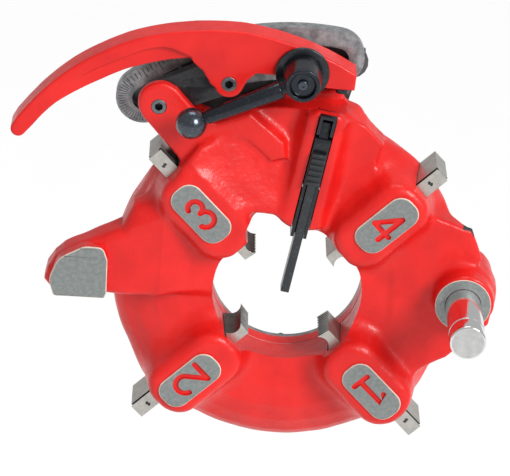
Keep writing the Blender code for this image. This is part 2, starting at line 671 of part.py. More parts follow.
def make_link():
    """Dark steel link between the head's ear and the lever, humped on top."""
    start = Vector(HEAD_PIVOT)
    span = (Vector(LEVER_PIVOT) - start).length
    lean = math.degrees(math.atan2(LEVER_PIVOT[1] - start[1], LEVER_PIVOT[0] - start[0]))
    hump = rounded([(-8.2, -7.4, 6.5), (span + 6.6, -7.0, 6), (span + 6.6, 6.2, 6), (span - 8, 12.6, 8),
                    (-3, 10.6, 7), (-8.2, 4, 5)])
    along, across = spoke(-lean, 1)[0], -spoke(-lean, 1)[1]
    outline = [(start[0] + u * along - v * across, start[1] + u * across + v * along) for u, v in hump]
    holes = [arc(*HEAD_PIVOT, PIN_R + GAP, 360, 0, 16)[:-1], arc(*LEVER_PIVOT, PIN_R + GAP, 360, 0, 16)[:-1]]
    plate("link", [outline] + holes, FORK_FRONT + GAP, FORK_REAR - GAP, black_oxide, origin=HEAD_PIVOT)


def make_link_pin(name, at, rear):
    pin = turned(name, [(LEVER_FRONT - 0.2, 0), (LEVER_FRONT - 0.2, PIN_R - 0.4), (LEVER_FRONT + 0.2, PIN_R),
                        (rear, PIN_R), (rear, 0)], black_oxide, at, steps=24)
    cut(pin, rod(name + "_hex", (at[0], 8, at[1]), (at[0], LEVER_FRONT + 4, at[1]), 2.3, segments=6))


# ---------------------------------------------------------------- size clamp

def make_clamp_stud():
    """Stud through the lever and the size bar, with a round head behind."""
    turned("clamp_stud", [(-1.5, 0), (-1.5, STUD_R - 0.8), (-0.7, STUD_R), (FLANGE_FRONT, STUD_R),
                          (FLANGE_FRONT, 9.0), (CAM_REAR, 8.4), (CAM_REAR, 0)], black_oxide, CLAMP_AXIS)


def make_clamp_washer():
    turned("clamp_washer", [(9.4, STUD_R + GAP), (9.4, WASHER_R - 0.8), (10.0, WASHER_R),
                            (LEVER_FRONT - GAP, WASHER_R), (LEVER_FRONT - GAP, STUD_R + GAP)],
           black_oxide, CLAMP_AXIS, closed=True)


def make_clamp_lever():
    x, z = CLAMP_AXIS
    profile = [(-8.4, 0), (-8.4, 8.0), (-7.6, 8.8), (2, 10.0), (7.6, HUB_R), (9.1, HUB_R - 0.6),
               (9.1, STUD_R + GAP), (-2.2, STUD_R + GAP), (-2.2, 0)]
    hub = turned("clamp_hub", profile, black_oxide, CLAMP_AXIS)
    recess = [(-10, 0), (-10, 5.6), (-6.6, 5.6), (-6.6, 0)]
    cut(hub, turned("hub_recess_cutter", recess, at=CLAMP_AXIS, steps=6))
    ball_at = Vector(BALL_AT)
    hub_at = Vector((x, ARM_AXIS_Y, z))
    along = (ball_at - hub_at).normalized()
    arm = rod("clamp_arm", hub_at + along * 11.8, ball_at - along * 7.9, 4.8, black_oxide, end_radius=3.7,
              segments=20)
    socket = rod("hub_socket_cutter", hub_at + along * 7.9, hub_at + along * 22, 3.4)
    neck = rod("clamp_arm_neck_solid", hub_at + along * 8.3, hub_at + along * 12.5, 3.0)
    join(arm, neck)
    cut(hub, socket)
    bm = bmesh.new()
    bmesh.ops.create_uvsphere(bm, u_segments=24, v_segments=14, radius=BALL_R * MM)
    ball = add_object("clamp_ball", mesh_from(bm, "clamp_ball"), BALL_AT, black_oxide)
    cut(ball, rod("ball_socket_cutter", ball_at - along * 20, ball_at - along * 6.0, 3.5))
    cap = [(-7.9, 0), (-7.9, 2.2), (-7.5, 2.6), (-2.9, 2.6), (-2.9, 0)]
    turned("hub_cap_screw", cap, black_oxide, CLAMP_AXIS, steps=20)
    cut(hub, rod("cap_screw_hole", (x, -10, z), (x, -2.6, z), 2.6 + GAP))


# ---------------------------------------------------------------- trigger

def trigger_piece(name, along_from, along_to, front, rear, half, material=None):
    """Straight bar along the trigger line; its origin is its own middle."""
    x, z = on_trigger((along_from + along_to) / 2)
    size = (2 * half, rear - front, along_to - along_from)
    return block(name, size, (x, (front + rear) / 2, z), material, TRIGGER_LEAN)


def trigger_cross(name, along, y, start, end, radius, material=None, segments=16):
    """Pin across the trigger line, from `start` to `end` beside it."""
    ax, az = on_trigger(along, start)
    bx, bz = on_trigger(along, end)
    return rod(name, (ax, y, az), (bx, y, bz), radius, material, segments=segments)


def make_trigger():
    make_bracket()
    make_swing_lever()
    make_slide()


def make_bracket():
    """Fixed fork at the top, holding the pivot pin."""
    bracket = trigger_piece("trigger_bracket", *BRACKET, TRIGGER_HALF, black_oxide)
    cut(bracket, trigger_piece("bracket_fork_cutter", -6.2, 12, 2, 21.4, FORK_HALF))
    cut(bracket, trigger_piece("bracket_cheek_cutter", CHEEK_END, 12, 2, 21.4, 6))
    cut(bracket, trigger_cross("bracket_pin_hole", 0, TRIGGER_PIN_Y, -8, 8, TRIGGER_PIN_R + GAP))
    trigger_cross("trigger_pivot_pin", 0, TRIGGER_PIN_Y, -TRIGGER_HALF, TRIGGER_HALF, TRIGGER_PIN_R,
                  ground_steel)
    for i, along in enumerate(BRACKET_SCREWS):
        at = on_trigger(along)
        cut(bracket, rod(f"bracket_screw_hole_{i + 1}", (at[0], 18, at[1]), (at[0], 26, at[1]), 1.0 + GAP,
                         segments=12))
        turned(f"bracket_screw_{i + 1}", [(19.9, 0), (19.9, 1.5), (20.3, 1.8), (21.1, 1.8), (21.1, 1.0),
                                          (29, 1.0), (29, 0)], black_oxide, at, steps=12)


def make_swing_lever():
    """Swinging channel with a narrow head between the fork's cheeks."""
    lever = trigger_piece("trigger_lever", *SWING_LEVER, TRIGGER_HALF, black_oxide)
    join(lever, trigger_piece("trigger_head_solid", -3.6, 6.5, 9.4, 18.6, SWING_HEAD_HALF))
    cut(lever, trigger_piece("slide_channel_cutter", 13.5, 66, 4, CHANNEL_REAR, CHANNEL_HALF))
    cut(lever, trigger_cross("lever_pin_hole_cutter", 0, TRIGGER_PIN_Y, -8, 8, TRIGGER_PIN_R + GAP))
    along, y, radius = SLIDE_SCREW
    for i, side in enumerate((-1, 1)):
        trigger_cross(f"slide_screw_{i + 1}", along, y, side * 2.9, side * 4.7, radius, ground_steel, 12)
        cut(lever, trigger_cross(f"slide_screw_hole_{i + 1}", along, y, side * 2.0, side * 6, radius + GAP))


def make_slide():
    """Slide in the channel, set along the lever for the thread's length."""
    slide = trigger_piece("trigger_slide", *SLIDE, SLIDE_HALF, black_oxide)
    join(slide, trigger_piece("slide_thumb_solid", *THUMB, THUMB_HALF))
    for i in range(SERRATIONS):
        start = SERRATION_FROM + SERRATION_PITCH * i
        cut(slide, trigger_piece(f"serration_{i + 1}_cutter", start, start + SERRATION_WIDTH, 2, 5.0, 6))


def make_trigger_spring():
    """Coil spring behind the swinging lever, in a pocket of the head."""
    turns, wire, radius = 3.5, 0.45, 2.3
    start = 20.0
    length = 3.2
    count = int(turns * 10)
    curve = bpy.data.curves.new("trigger_spring_path", "CURVE")
    curve.dimensions = "3D"
    curve.bevel_depth = wire * MM
    curve.bevel_resolution = 2
    curve.use_fill_caps = True
    spline = curve.splines.new("POLY")
    spline.points.add(count)
    for i in range(count + 1):
        turn = 2 * math.pi * turns * i / count
        place = (radius * math.cos(turn) * MM, length * i / count * MM, radius * math.sin(turn) * MM)
        spline.points[i].co = (*place, 1)
    sketch = bpy.data.objects.new("trigger_spring_sketch", curve)
    cutters.objects.link(sketch)
    bpy.context.view_layer.update()
    mesh = bpy.data.meshes.new_from_object(sketch.evaluated_get(bpy.context.evaluated_depsgraph_get()))
    bpy.data.objects.remove(sketch, do_unlink=True)
    bm = bmesh.new()
    bm.from_mesh(mesh)
    x, z = on_trigger(SPRING_AT)
    add_object("trigger_spring", mesh_from(bm, "trigger_spring"), (x, start, z), ground_steel)


# ---------------------------------------------------------------- assembly

clear_scene()
parts = make_collection("pipe_threading_die_head")
cutters = make_collection("cutters")
bore_frame = bpy.data.objects.new("bore_frame", None)
parts.objects.link(bore_frame)
bore_frame.location = (-POST_X * MM, 0, -POST_Z * MM)

red_paint = make_material("red_enamel", (0.70, 0.022, 0.020), 0.3, 0.0)
ground_steel = make_material("ground_steel", (0.30, 0.32, 0.32), 0.4, 1.0)
cast_steel = make_material("cam_steel", (0.22, 0.23, 0.24), 0.5, 1.0)
die_steel = make_material("die_steel", (0.55, 0.54, 0.52), 0.35, 1.0)
chrome = make_material("post_chrome", (0.80, 0.80, 0.80), 0.1, 1.0)
black_oxide = make_material("black_oxide", (0.025, 0.028, 0.032), 0.4, 0.6)

make_head()
make_post()
make_retainer()
cam_plate = make_cam_plate()
size_bar, slot_guard = make_size_bar()
make_bar_screws(cam_plate, size_bar, slot_guard)
for die_number, die_angle in DIE_ANGLES.items():
    make_die(die_number, die_angle)
make_lever()
make_link()
make_link_pin("link_pin_head", HEAD_PIVOT, EAR_REAR - 0.1)
make_link_pin("link_pin_lever", LEVER_PIVOT, LEVER_REAR - 1.3)
make_clamp_stud()
make_clamp_washer()
make_clamp_lever()
make_trigger()
make_trigger_spring()
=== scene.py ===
"""Looks of the self-opening pipe-threading die head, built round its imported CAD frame.

Shapes are worked out in millimetres in the bore frame (origin on the bore's axis in the
plane of the ground pads, X right, Y to the rear, Z up) and written in metres in the row frame.
"""

import math

import bmesh
import bpy
import numpy as np
from mathutils import Matrix, Vector


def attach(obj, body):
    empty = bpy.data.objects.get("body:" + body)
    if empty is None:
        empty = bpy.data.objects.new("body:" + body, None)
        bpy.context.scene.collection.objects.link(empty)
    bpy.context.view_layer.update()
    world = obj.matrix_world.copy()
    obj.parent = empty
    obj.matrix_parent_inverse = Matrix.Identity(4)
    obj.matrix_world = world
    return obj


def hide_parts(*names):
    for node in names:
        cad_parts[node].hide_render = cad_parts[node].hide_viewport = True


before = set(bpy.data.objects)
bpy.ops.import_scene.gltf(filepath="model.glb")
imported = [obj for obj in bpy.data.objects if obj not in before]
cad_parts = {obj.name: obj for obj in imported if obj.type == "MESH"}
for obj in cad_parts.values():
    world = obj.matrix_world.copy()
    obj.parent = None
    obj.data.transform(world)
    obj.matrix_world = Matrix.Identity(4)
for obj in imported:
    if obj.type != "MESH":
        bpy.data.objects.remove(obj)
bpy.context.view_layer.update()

MM = 0.001
POST_X = 93.0
POST_Z = 5.5
POST_AT = (POST_X, POST_Z)
ORIGIN = np.array([POST_X, 0.0, POST_Z])      # row origin in the bore frame

# Head
BORE_R = 40.0
RIM_R = 94.0
SKIRT_R = 90.0
CAVITY_Y = 37.0
REAR_Y = 47.0
ARM_FACE = 1.3
ARM_REAR = 38.0                # arms and trigger block run this deep into the disc
RETAINER_R = 44.3              # circle of the collar's four screws
PAD_R = 69.0
PAD_HALF = (18.5, 9.0)
PAD_CORNER = 7.5
PAD_REAR = 1.9
HIGHLIGHT_BEVEL_WIDTH = 0.5                # width of the bevel round a ground face, whose pale tan colour is a painted highlight
STROKE = 1.5                   # half the width of a numeral's stroke
DIE_ANGLES = {1: 315.0, 2: 225.0, 3: 135.0, 4: 45.0}
DIE_WIDTH = 8.4
DIE_OFFSET = -1.0              # the dies sit this far beside the spokes
DIE_FRONT = 11.5
DIE_REAR = 36.7
DIE_TIP_R = 29.5
DIE_SCOOP = ((0, -3.8), (2.2, -2.0), (5.5, -1.6), (8.4, -3.1), (10.2, -5.2))
DIE_END_R = 107.0
DIE_MIDDLE = 24.7              # middle of a die slot's depth
STAMP_R = 99.0
TOOTH_PITCH = 2.0
LUG_R = 78.0
POST_R = 9.5
POST_END = -45.8
POST_SOCKET = 34.0
BOSS_R = 15.0
SET_SCREW_Y = 20.2
HOLE_PLAY = 0.15               # a hole's radius over its pin's

# Linkage, clamp and size bar
HEAD_PIVOT = (-74.3, 103.1)
LEVER_PIVOT = (-38.7, 118.0)
CLAMP_AXIS = (-1.2, 127.4)
EAR_CENTRE = (-73.8, 104.4)
EAR_R = 11.6
LEVER_FRONT = 12.0
LEVER_REAR = 28.6
EAR_REAR = 31.0
CROWN_REAR = 36.7
LUG_FRONT = 5.5
LUG_REAR = 24.0
FORK_FRONT = 17.0
FORK_REAR = 26.0
PIN_R = 4.0
STUD_R = 4.6
BAR_FROM = 82.4
BAR_TO = 129.7
BAR_MID_R = 129.5
BAR_HALF = 14.6
SLOT_MID_R = 128.4
SLOT_HALF = 6.6
BAR_FRONT = 33.0
BAR_REAR = 41.0
BALL_AT = (-57.0, -5.5, 102.0)
BALL_R = 8.15
STOP_SCREW = (20.5, 20.0)      # x and y of the screw under the lever

# Trigger
TRIGGER_PIVOT = (13.0, 97.5)
TRIGGER_LEAN = 9.05
TRIGGER_HALF = 4.3
TRIGGER_PIN_Y = 14.0
SLIDE_SCREW = (33.4, 9.6)      # along the trigger, and y

# Cell sizes of the two surface nets
HEAD_CELL = 1.0
LEVER_CELL = 0.65

# Camera and floor
VIEW_ANGLES = (1.8, 24.0, 4.3)     # left of the bore's axis, above it, and roll
VIEW_DISTANCE = 1750.0
VIEW_SHIFT = (-17.1, 35.2)         # right and up of the bore's middle
LENS = 233.1
FLOOR_DROP = 500.0
FLOOR_HALF = 6.0                   # metres


# ---- distance fields

def smooth_min(a, b, blend):
    """Union of two distance fields with a fillet about `blend` wide."""
    h = np.clip(0.5 + 0.5 * (b - a) / blend, 0, 1)
    return b + (a - b) * h - blend * h * (1 - h)


def smooth_max(a, b, blend):
    """Overlap of two distance fields with a rounded edge about `blend` wide."""
    return -smooth_min(-a, -b, blend)


def polygon(u, v, corners):
    """Signed distance to a closed polygon in the (u, v) plane, negative inside."""
    best = None
    sign = None
    for (au, av), (bu, bv) in zip((*corners[-1:], *corners[:-1]), corners):
        eu, ev = bu - au, bv - av
        wu, wv = u - au, v - av
        t = np.clip((wu * eu + wv * ev) / (eu * eu + ev * ev), 0, 1)
        gap = (wu - eu * t) ** 2 + (wv - ev * t) ** 2
        crosses = ((av <= v) != (bv <= v)) & ((eu * wv > ev * wu) == (bv > av))
        flip = np.where(crosses, -1.0, 1.0)
        best = gap if best is None else np.minimum(best, gap)
        sign = flip if sign is None else sign * flip
    return sign * np.sqrt(best)


def rounded_slab(u, v, half_u, half_v, corner):
    """Signed distance to a rectangle with round corners."""
    qu = np.abs(u) - half_u + corner
    qv = np.abs(v) - half_v + corner
    outside = np.hypot(np.maximum(qu, 0), np.maximum(qv, 0))
    return outside + np.minimum(np.maximum(qu, qv), 0) - corner


def between(flat, y, front, rear, edge):
    """A flat outline's field made solid from front to rear with eased edges."""
    return smooth_max(flat, np.maximum(front - y, y - rear), edge)


def ripple(x, y, z, size):
    """Slow unevenness of a sand-cast surface, about -1 to 1."""
    a, b, c = x / size, y / size, z / size
    return (np.sin(a * 1.9 + 2.3 * np.sin(c * 1.1)) * np.sin(c * 1.7 + 1.9 * np.sin(a * 0.9 + b))
            + 0.5 * np.sin(a * 4.1 + c * 3.3 + b * 2.7)) / 1.5


def spoke_frame(x, z, angle):
    """Distance out along a spoke of the bore, and across it."""
    c, s = math.cos(math.radians(angle)), math.sin(math.radians(angle))
    return x * c + z * s, -x * s + z * c


def surface_net(field, low, high, step):
    """Points and quads of field = 0 inside a box, by a surface net pulled onto the field."""
    axes = [np.arange(a, b + step, step, dtype=np.float32) for a, b in zip(low, high)]
    gx, gy, gz = axes[0][:, None, None], axes[1][None, :, None], axes[2][None, None, :]
    values = np.broadcast_to(field(gx, gy, gz), [len(a) for a in axes])
    values = np.ascontiguousarray(values, dtype=np.float32)
    inside = values < 0
    total = np.zeros([n - 1 for n in inside.shape], dtype=np.int8)
    offsets = [(i, j, k) for i in (0, 1) for j in (0, 1) for k in (0, 1)]
    for i, j, k in offsets:
        total += inside[i:total.shape[0] + i, j:total.shape[1] + j, k:total.shape[2] + k]
    cells = np.argwhere((total > 0) & (total < 8))
    points = np.zeros((len(cells), 3))
    hits = np.zeros(len(cells))
    for start in offsets:
        for axis in range(3):
            if start[axis]:
                continue
            first = cells + start
            last = first.copy()
            last[:, axis] += 1
            va, vb = values[tuple(first.T)], values[tuple(last.T)]
            crossed = (va < 0) != (vb < 0)
            part = np.where(crossed, va / np.where(crossed, va - vb, 1), 0)
            place = first.astype(float)
            place[:, axis] += part
            points += place * crossed[:, None]
            hits += crossed
    points = points / hits[:, None] * step + np.array([a[0] for a in axes])
    number = np.full(total.shape, -1, dtype=np.int32)
    number[tuple(cells.T)] = np.arange(len(cells))
    quads = []
    for axis in range(3):
        o1, o2 = (axis + 1) % 3, (axis + 2) % 3
        here = np.take(inside, range(inside.shape[axis] - 1), axis)
        there = np.take(inside, range(1, inside.shape[axis]), axis)
        edges = np.argwhere(here != there)
        u, v = edges[:, o1], edges[:, o2]
        edges = edges[(u > 0) & (v > 0) & (u < total.shape[o1]) & (v < total.shape[o2])]
        corners = []
        for d1, d2 in ((1, 1), (0, 1), (0, 0), (1, 0)):
            cell = edges.copy()
            cell[:, o1] -= d1
            cell[:, o2] -= d2
            corners.append(number[tuple(cell.T)])
        ring = np.stack(corners, axis=1)
        outward = here[tuple(edges.T)]
        ring[~outward] = ring[~outward][:, ::-1]
        quads.append(ring)
    quads = np.concatenate(quads)
    reach = 0.04
    for _ in range(3):
        x, y, z = points.T
        slope = np.stack([field(x + reach, y, z) - field(x - reach, y, z),
                          field(x, y + reach, z) - field(x, y - reach, z),
                          field(x, y, z + reach) - field(x, y, z - reach)], axis=1) / (2 * reach)
        length = np.maximum((slope ** 2).sum(axis=1), 0.05)
        move = slope * (field(x, y, z) / length)[:, None]
        points = points - np.clip(move, -0.4 * step, 0.4 * step)
    return points, quads


# ---- outlines and mesh tools

def arc(cx, cz, radius, start, end, steps):
    """Points round an arc, in degrees from +X towards +Z."""
    points = []
    for i in range(steps + 1):
        angle = math.radians(start + (end - start) * i / steps)
        points.append((cx + radius * math.cos(angle), cz + radius * math.sin(angle)))
    return points


def rounded(corners, steps=6, closed=True):
    """Outline from (x, z, radius) corners, each radius a true arc."""
    points = []
    count = len(corners)
    for i, (x, z, radius) in enumerate(corners):
        at_end = not closed and i in (0, count - 1)
        if radius <= 0 or at_end:
            points.append((x, z))
            continue
        here = Vector((x, z))
        before = Vector(corners[i - 1][:2]) - here
        after = Vector(corners[(i + 1) % count][:2]) - here
        half = before.angle(after) / 2
        reach = min(radius / math.tan(half), 0.49 * min(before.length, after.length))
        true_radius = reach * math.tan(half)
        middle = (before.normalized() + after.normalized()).normalized()
        centre = here + middle * (true_radius / math.sin(half))
        first = here + before.normalized() * reach - centre
        last = here + after.normalized() * reach - centre
        turn = first.angle_signed(last)
        for k in range(steps + 1):
            ray = first.copy()
            ray.rotate(Matrix.Rotation(-turn * k / steps, 2))
            points.append(tuple(centre + ray))
    return points


def spoke(angle, radius, across=0.0):
    """Point out along a spoke of the bore and beside it."""
    turn = math.radians(angle)
    return (radius * math.cos(turn) - across * math.sin(turn),
            radius * math.sin(turn) + across * math.cos(turn))


def on_trigger(along, across=0.0):
    """Point down the trigger from its pivot and beside it."""
    turn = math.radians(TRIGGER_LEAN)
    x, z = TRIGGER_PIVOT
    return (x - along * math.sin(turn) + across * math.cos(turn),
            z - along * math.cos(turn) - across * math.sin(turn))


def ring_slot(mid, half, start, end):
    """Outline of a curved slot with round ends."""
    outline = arc(0, 0, mid + half, start, end, 40)
    outline += arc(*spoke(end, mid), half, end, end + 180, 16)[1:-1]
    outline += arc(0, 0, mid - half, end, start, 40)
    outline += arc(*spoke(start, mid), half, start + 180, start + 360, 16)[1:-1]
    return outline


def new_object(name, data):
    obj = bpy.data.objects.new(name, data)
    bpy.context.scene.collection.objects.link(obj)
    return obj


def from_bmesh(name, bm, shift=(0, 0, 0), turn=Matrix.Identity(3)):
    """Object in the row frame from a bmesh in the bore frame, turned and then moved."""
    bmesh.ops.rotate(bm, verts=bm.verts, matrix=turn)
    bmesh.ops.translate(bm, verts=bm.verts, vec=shift)
    bmesh.ops.remove_doubles(bm, verts=bm.verts, dist=0.01)
    bmesh.ops.recalc_face_normals(bm, faces=bm.faces)
    bmesh.ops.translate(bm, verts=bm.verts, vec=-Vector(ORIGIN))
    bmesh.ops.scale(bm, verts=bm.verts, vec=(MM, MM, MM))
    mesh = bpy.data.meshes.new(name)
    bm.to_mesh(mesh)
    bm.free()
    return new_object(name, mesh)


def from_net(name, field, low, high, cell):
    """Object whose surface is field = 0."""
    points, quads = surface_net(field, low, high, cell)
    mesh = bpy.data.meshes.new(name)
    mesh.from_pydata(((points - ORIGIN) * MM).tolist(), [], quads.tolist())
    mesh.validate()
    return new_object(name, mesh)


def evaluated_mesh(obj):
    bpy.context.view_layer.update()
    graph = bpy.context.evaluated_depsgraph_get()
    return bpy.data.meshes.new_from_object(obj.evaluated_get(graph))


def apply_modifiers(obj):
    mesh = evaluated_mesh(obj)
    old = obj.data
    obj.modifiers.clear()
    obj.data = mesh
    bpy.data.meshes.remove(old)


def soften(obj, width, segments=2, angle=30, clamp=True):
    """Small rounded edges wherever faces meet at more than `angle`."""
    bevel = obj.modifiers.new("soften", "BEVEL")
    bevel.width = width * MM
    bevel.segments = segments
    bevel.limit_method = "ANGLE"
    bevel.angle_limit = math.radians(angle)
    bevel.use_clamp_overlap = clamp
    apply_modifiers(obj)


def plate(name, outlines, front, rear):
    """Flat outline and holes in the XZ plane, thick from front to rear."""
    curve = bpy.data.curves.new(name, "CURVE")
    curve.dimensions = "2D"
    curve.fill_mode = "BOTH"
    curve.extrude = (rear - front) / 2
    for outline in outlines:
        spline = curve.splines.new("POLY")
        spline.points.add(len(outline) - 1)
        for point, (x, z) in zip(spline.points, outline):
            point.co = (x, z, 0, 1)
        spline.use_cyclic_u = True
    sketch = new_object(name + "_sketch", curve)
    flat = evaluated_mesh(sketch)
    bpy.data.objects.remove(sketch)
    bm = bmesh.new()
    bm.from_mesh(flat)
    return from_bmesh(name, bm, (0, (front + rear) / 2, 0), Matrix.Rotation(math.pi / 2, 3, "X"))


def turned(name, corners, at=(0, 0), steps=64, closed=False):
    """(y, radius, fillet) corners turned about a line along Y through `at`."""
    profile = rounded(corners, 5, closed)
    bm = bmesh.new()
    verts = [bm.verts.new((radius, y, 0)) for y, radius in profile]
    edges = [bm.edges.new(pair) for pair in zip(verts, verts[1:])]
    if closed:
        edges.append(bm.edges.new((verts[-1], verts[0])))
    bmesh.ops.spin(bm, geom=verts + edges, cent=(0, 0, 0), axis=(0, 1, 0), angle=2 * math.pi,
                   steps=steps, use_merge=True)
    return from_bmesh(name, bm, (at[0], 0, at[1]))


def rod(name, start, end, radius, end_radius=None, segments=32, edge=0.0):
    """Round bar or cone between two points."""
    first, last = Vector(start), Vector(end)
    along = last - first
    bm = bmesh.new()
    bmesh.ops.create_cone(bm, cap_ends=True, segments=segments, radius1=radius,
                          radius2=radius if end_radius is None else end_radius, depth=along.length)
    turn = Vector((0, 0, 1)).rotation_difference(along).to_matrix()
    obj = from_bmesh(name, bm, (first + last) / 2, turn)
    if edge:
        soften(obj, edge)
    return obj


def drill(name, at, front, rear, radius, **shape):
    """Round bar along Y through (x, z)."""
    return rod(name, (at[0], front, at[1]), (at[0], rear, at[1]), radius, **shape)


def block(name, size, at, lean=0.0):
    bm = bmesh.new()
    bmesh.ops.create_cube(bm, size=1.0)
    bmesh.ops.scale(bm, verts=bm.verts, vec=size)
    return from_bmesh(name, bm, at, Matrix.Rotation(math.radians(lean), 3, "Y"))


def spoke_block(name, size, angle, radius, across, y, turn=0.0):
    """Block laid along a spoke of the bore."""
    x, z = spoke(angle, radius, across)
    return block(name, size, (x, y, z), turn - angle)


def bar(name, along_from, along_to, front, rear, half):
    """Straight bar along the trigger line."""
    x, z = on_trigger((along_from + along_to) / 2)
    size = (2 * half, rear - front, along_to - along_from)
    return block(name, size, (x, (front + rear) / 2, z), TRIGGER_LEAN)


def cross_pin(name, along, y, start, end, radius, edge=0.0):
    """Round bar across the trigger line."""
    ax, az = on_trigger(along, start)
    bx, bz = on_trigger(along, end)
    return rod(name, (ax, y, az), (bx, y, bz), radius, edge=edge)


def combine(target, others, operation):
    """Boolean each helper into the target, then drop the helpers."""
    for other in others:
        modifier = target.modifiers.new(operation, "BOOLEAN")
        modifier.operation = operation
        modifier.object = other
        modifier.solver = "MANIFOLD"
    apply_modifiers(target)
    for other in others:
        bpy.data.objects.remove(other)


def cut(target, *others):
    combine(target, others, "DIFFERENCE")


def join(target, *others):
    combine(target, others, "UNION")


def dress(obj, body, materials, replaces=(), sharp=30):
    """Materials, shading and body of a finished piece."""
    obj.data.materials.clear()
    for material in materials:
        obj.data.materials.append(material)
    obj.data.shade_smooth()
    obj.data.set_sharp_from_angle(angle=math.radians(sharp))
    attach(obj, body)
    if replaces:
        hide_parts(*replaces)


def paint(obj, choose):
    """Material index of each face by its centre in the bore frame and its normal's Y."""
    for face in obj.data.polygons:
        x, y, z = np.array(face.center) / MM + ORIGIN
        face.material_index = int(choose(x, y, z, face.normal.y))


# ---- materials

def new_material(name, colour, roughness, metallic=0.0, coat=0.0, coat_roughness=0.05):
    material = bpy.data.materials.new(name)
    material.use_nodes = True
    shader = material.node_tree.nodes["Principled BSDF"]
    values = {"Base Color": (*colour, 1), "Roughness": roughness, "Metallic": metallic,
              "Coat Weight": coat, "Coat Roughness": coat_roughness}
    for socket, value in values.items():
        shader.inputs[socket].default_value = value
    return material


def add_node(material, kind, **inputs):
    node = material.node_tree.nodes.new(kind)
    for key, value in inputs.items():
        socket = node.inputs[key.replace("_", " ")]
        if hasattr(value, "is_output"):
            material.node_tree.links.new(value, socket)
        else:
            socket.default_value = value
    return node


def position(material, stretch=(1, 1, 1)):
    """Object coordinates in millimetres, squeezed along each axis."""
    coordinates = add_node(material, "ShaderNodeTexCoord").outputs["Object"]
    scale = tuple(1000 * s for s in stretch)
    return add_node(material, "ShaderNodeMapping", Vector=coordinates, Scale=scale).outputs["Vector"]


def noise(material, place, scale, detail=2.0, roughness=0.5):
    """Noise with features about 1/scale millimetres across."""
    return add_node(material, "ShaderNodeTexNoise", Vector=place, Scale=scale, Detail=detail,
                    Roughness=roughness).outputs["Fac"]


def ramp(material, value, low, high, first, last):
    """Map a value range to another, clamped."""
    return add_node(material, "ShaderNodeMapRange", Value=value, From_Min=low, From_Max=high,
                    To_Min=first, To_Max=last).outputs["Result"]


def mixed(material, factor, first, last):
    """Colour between two, by a factor."""
    node = material.node_tree.nodes.new("ShaderNodeMix")
    node.data_type = "RGBA"
    material.node_tree.links.new(factor, node.inputs["Factor"])
    node.inputs["A"].default_value = (*first, 1)
    node.inputs["B"].default_value = (*last, 1)
    return node.outputs["Result"]


def feed(material, **sockets):
    """Link outputs to the Principled shader's inputs."""
    shader = material.node_tree.nodes["Principled BSDF"]
    for key, output in sockets.items():
        material.node_tree.links.new(output, shader.inputs[key.replace("_", " ")])


def bump(material, height, depth, **coarser):
    """Bump `depth` millimetres deep, over a coarser one's Normal."""
    return add_node(material, "ShaderNodeBump", Height=height, Distance=depth * MM, Strength=1.0,
                    **coarser).outputs["Normal"]


def make_red_enamel(name="red_enamel", cast=1.0):
    """Gloss enamel over sand-cast iron: orange peel and slight colour drift."""
    red = new_material(name, (0.68, 0.009, 0.007), 0.4, coat=0.10, coat_roughness=0.06)
    red.node_tree.nodes["Principled BSDF"].inputs["Specular IOR Level"].default_value = 0.32
    place = position(red)
    drift = ramp(red, noise(red, place, 0.05, 3.0), 0.35, 0.65, 0, 1)
    feed(red, Base_Color=mixed(red, drift, (0.72, 0.013, 0.010), (0.61, 0.009, 0.008)))
    feed(red, Roughness=ramp(red, noise(red, place, 0.3), 0.3, 0.7, 0.32, 0.44))
    coarse = bump(red, noise(red, place, 0.16, 3.0), 0.40 * cast)
    fine = bump(red, noise(red, place, 0.62, 2.0), 0.12 * cast, Normal=coarse)
    feed(red, Normal=fine, Coat_Normal=fine)
    return red


def make_ground_iron():
    """Iron ground flat: fine grain, faint cloudy colour."""
    iron = new_material("ground_iron", (0.23, 0.25, 0.25), 0.5, metallic=0.65)
    place = position(iron)
    cloud = ramp(iron, noise(iron, place, 0.45, 4.0, 0.7), 0.35, 0.65, 0, 1)
    feed(iron, Base_Color=mixed(iron, cloud, (0.20, 0.225, 0.22), (0.29, 0.305, 0.30)))
    feed(iron, Roughness=ramp(iron, noise(iron, place, 3.0), 0.3, 0.7, 0.42, 0.6))
    feed(iron, Normal=bump(iron, noise(iron, position(iron, (1, 1, 6)), 1.6), 0.03))
    return iron


def make_steel(name, light, dark, roughness, metallic=0.9):
    """Ground or machined steel with lay marks along one axis."""
    steel = new_material(name, light, roughness, metallic=metallic)
    place = position(steel)
    cloud = ramp(steel, noise(steel, place, 0.2, 4.0, 0.65), 0.35, 0.65, 0, 1)
    feed(steel, Base_Color=mixed(steel, cloud, light, dark))
    lay = noise(steel, position(steel, (1, 1, 8)), 0.9, 3.0)
    feed(steel, Roughness=ramp(steel, lay, 0.3, 0.7, roughness - 0.07, roughness + 0.09))
    feed(steel, Normal=bump(steel, lay, 0.02))
    return steel


def make_black_oxide(name="black_oxide", colour=(0.022, 0.025, 0.03), roughness=0.32, metallic=0.75):
    """Blackened steel, rubbed a little lighter in places."""
    black = new_material(name, colour, roughness, metallic=metallic, coat=0.35, coat_roughness=0.15)
    place = position(black)
    worn = ramp(black, noise(black, place, 0.5, 4.0, 0.7), 0.55, 0.75, 0, 1)
    lighter = tuple(2.2 * c + 0.01 for c in colour)
    feed(black, Base_Color=mixed(black, worn, colour, lighter))
    sheen = ramp(black, noise(black, place, 0.9), 0.3, 0.7, roughness - 0.06, roughness + 0.1)
    feed(black, Roughness=sheen)
    feed(black, Normal=bump(black, noise(black, place, 1.5), 0.012))
    return black


def make_chrome():
    """Polished post with faint turning marks round it."""
    chrome = new_material("polished_post", (0.80, 0.80, 0.80), 0.12, metallic=1.0)
    place = position(chrome, (1, 0.08, 1))
    feed(chrome, Roughness=ramp(chrome, noise(chrome, place, 2.0), 0.3, 0.7, 0.08, 0.17))
    return chrome


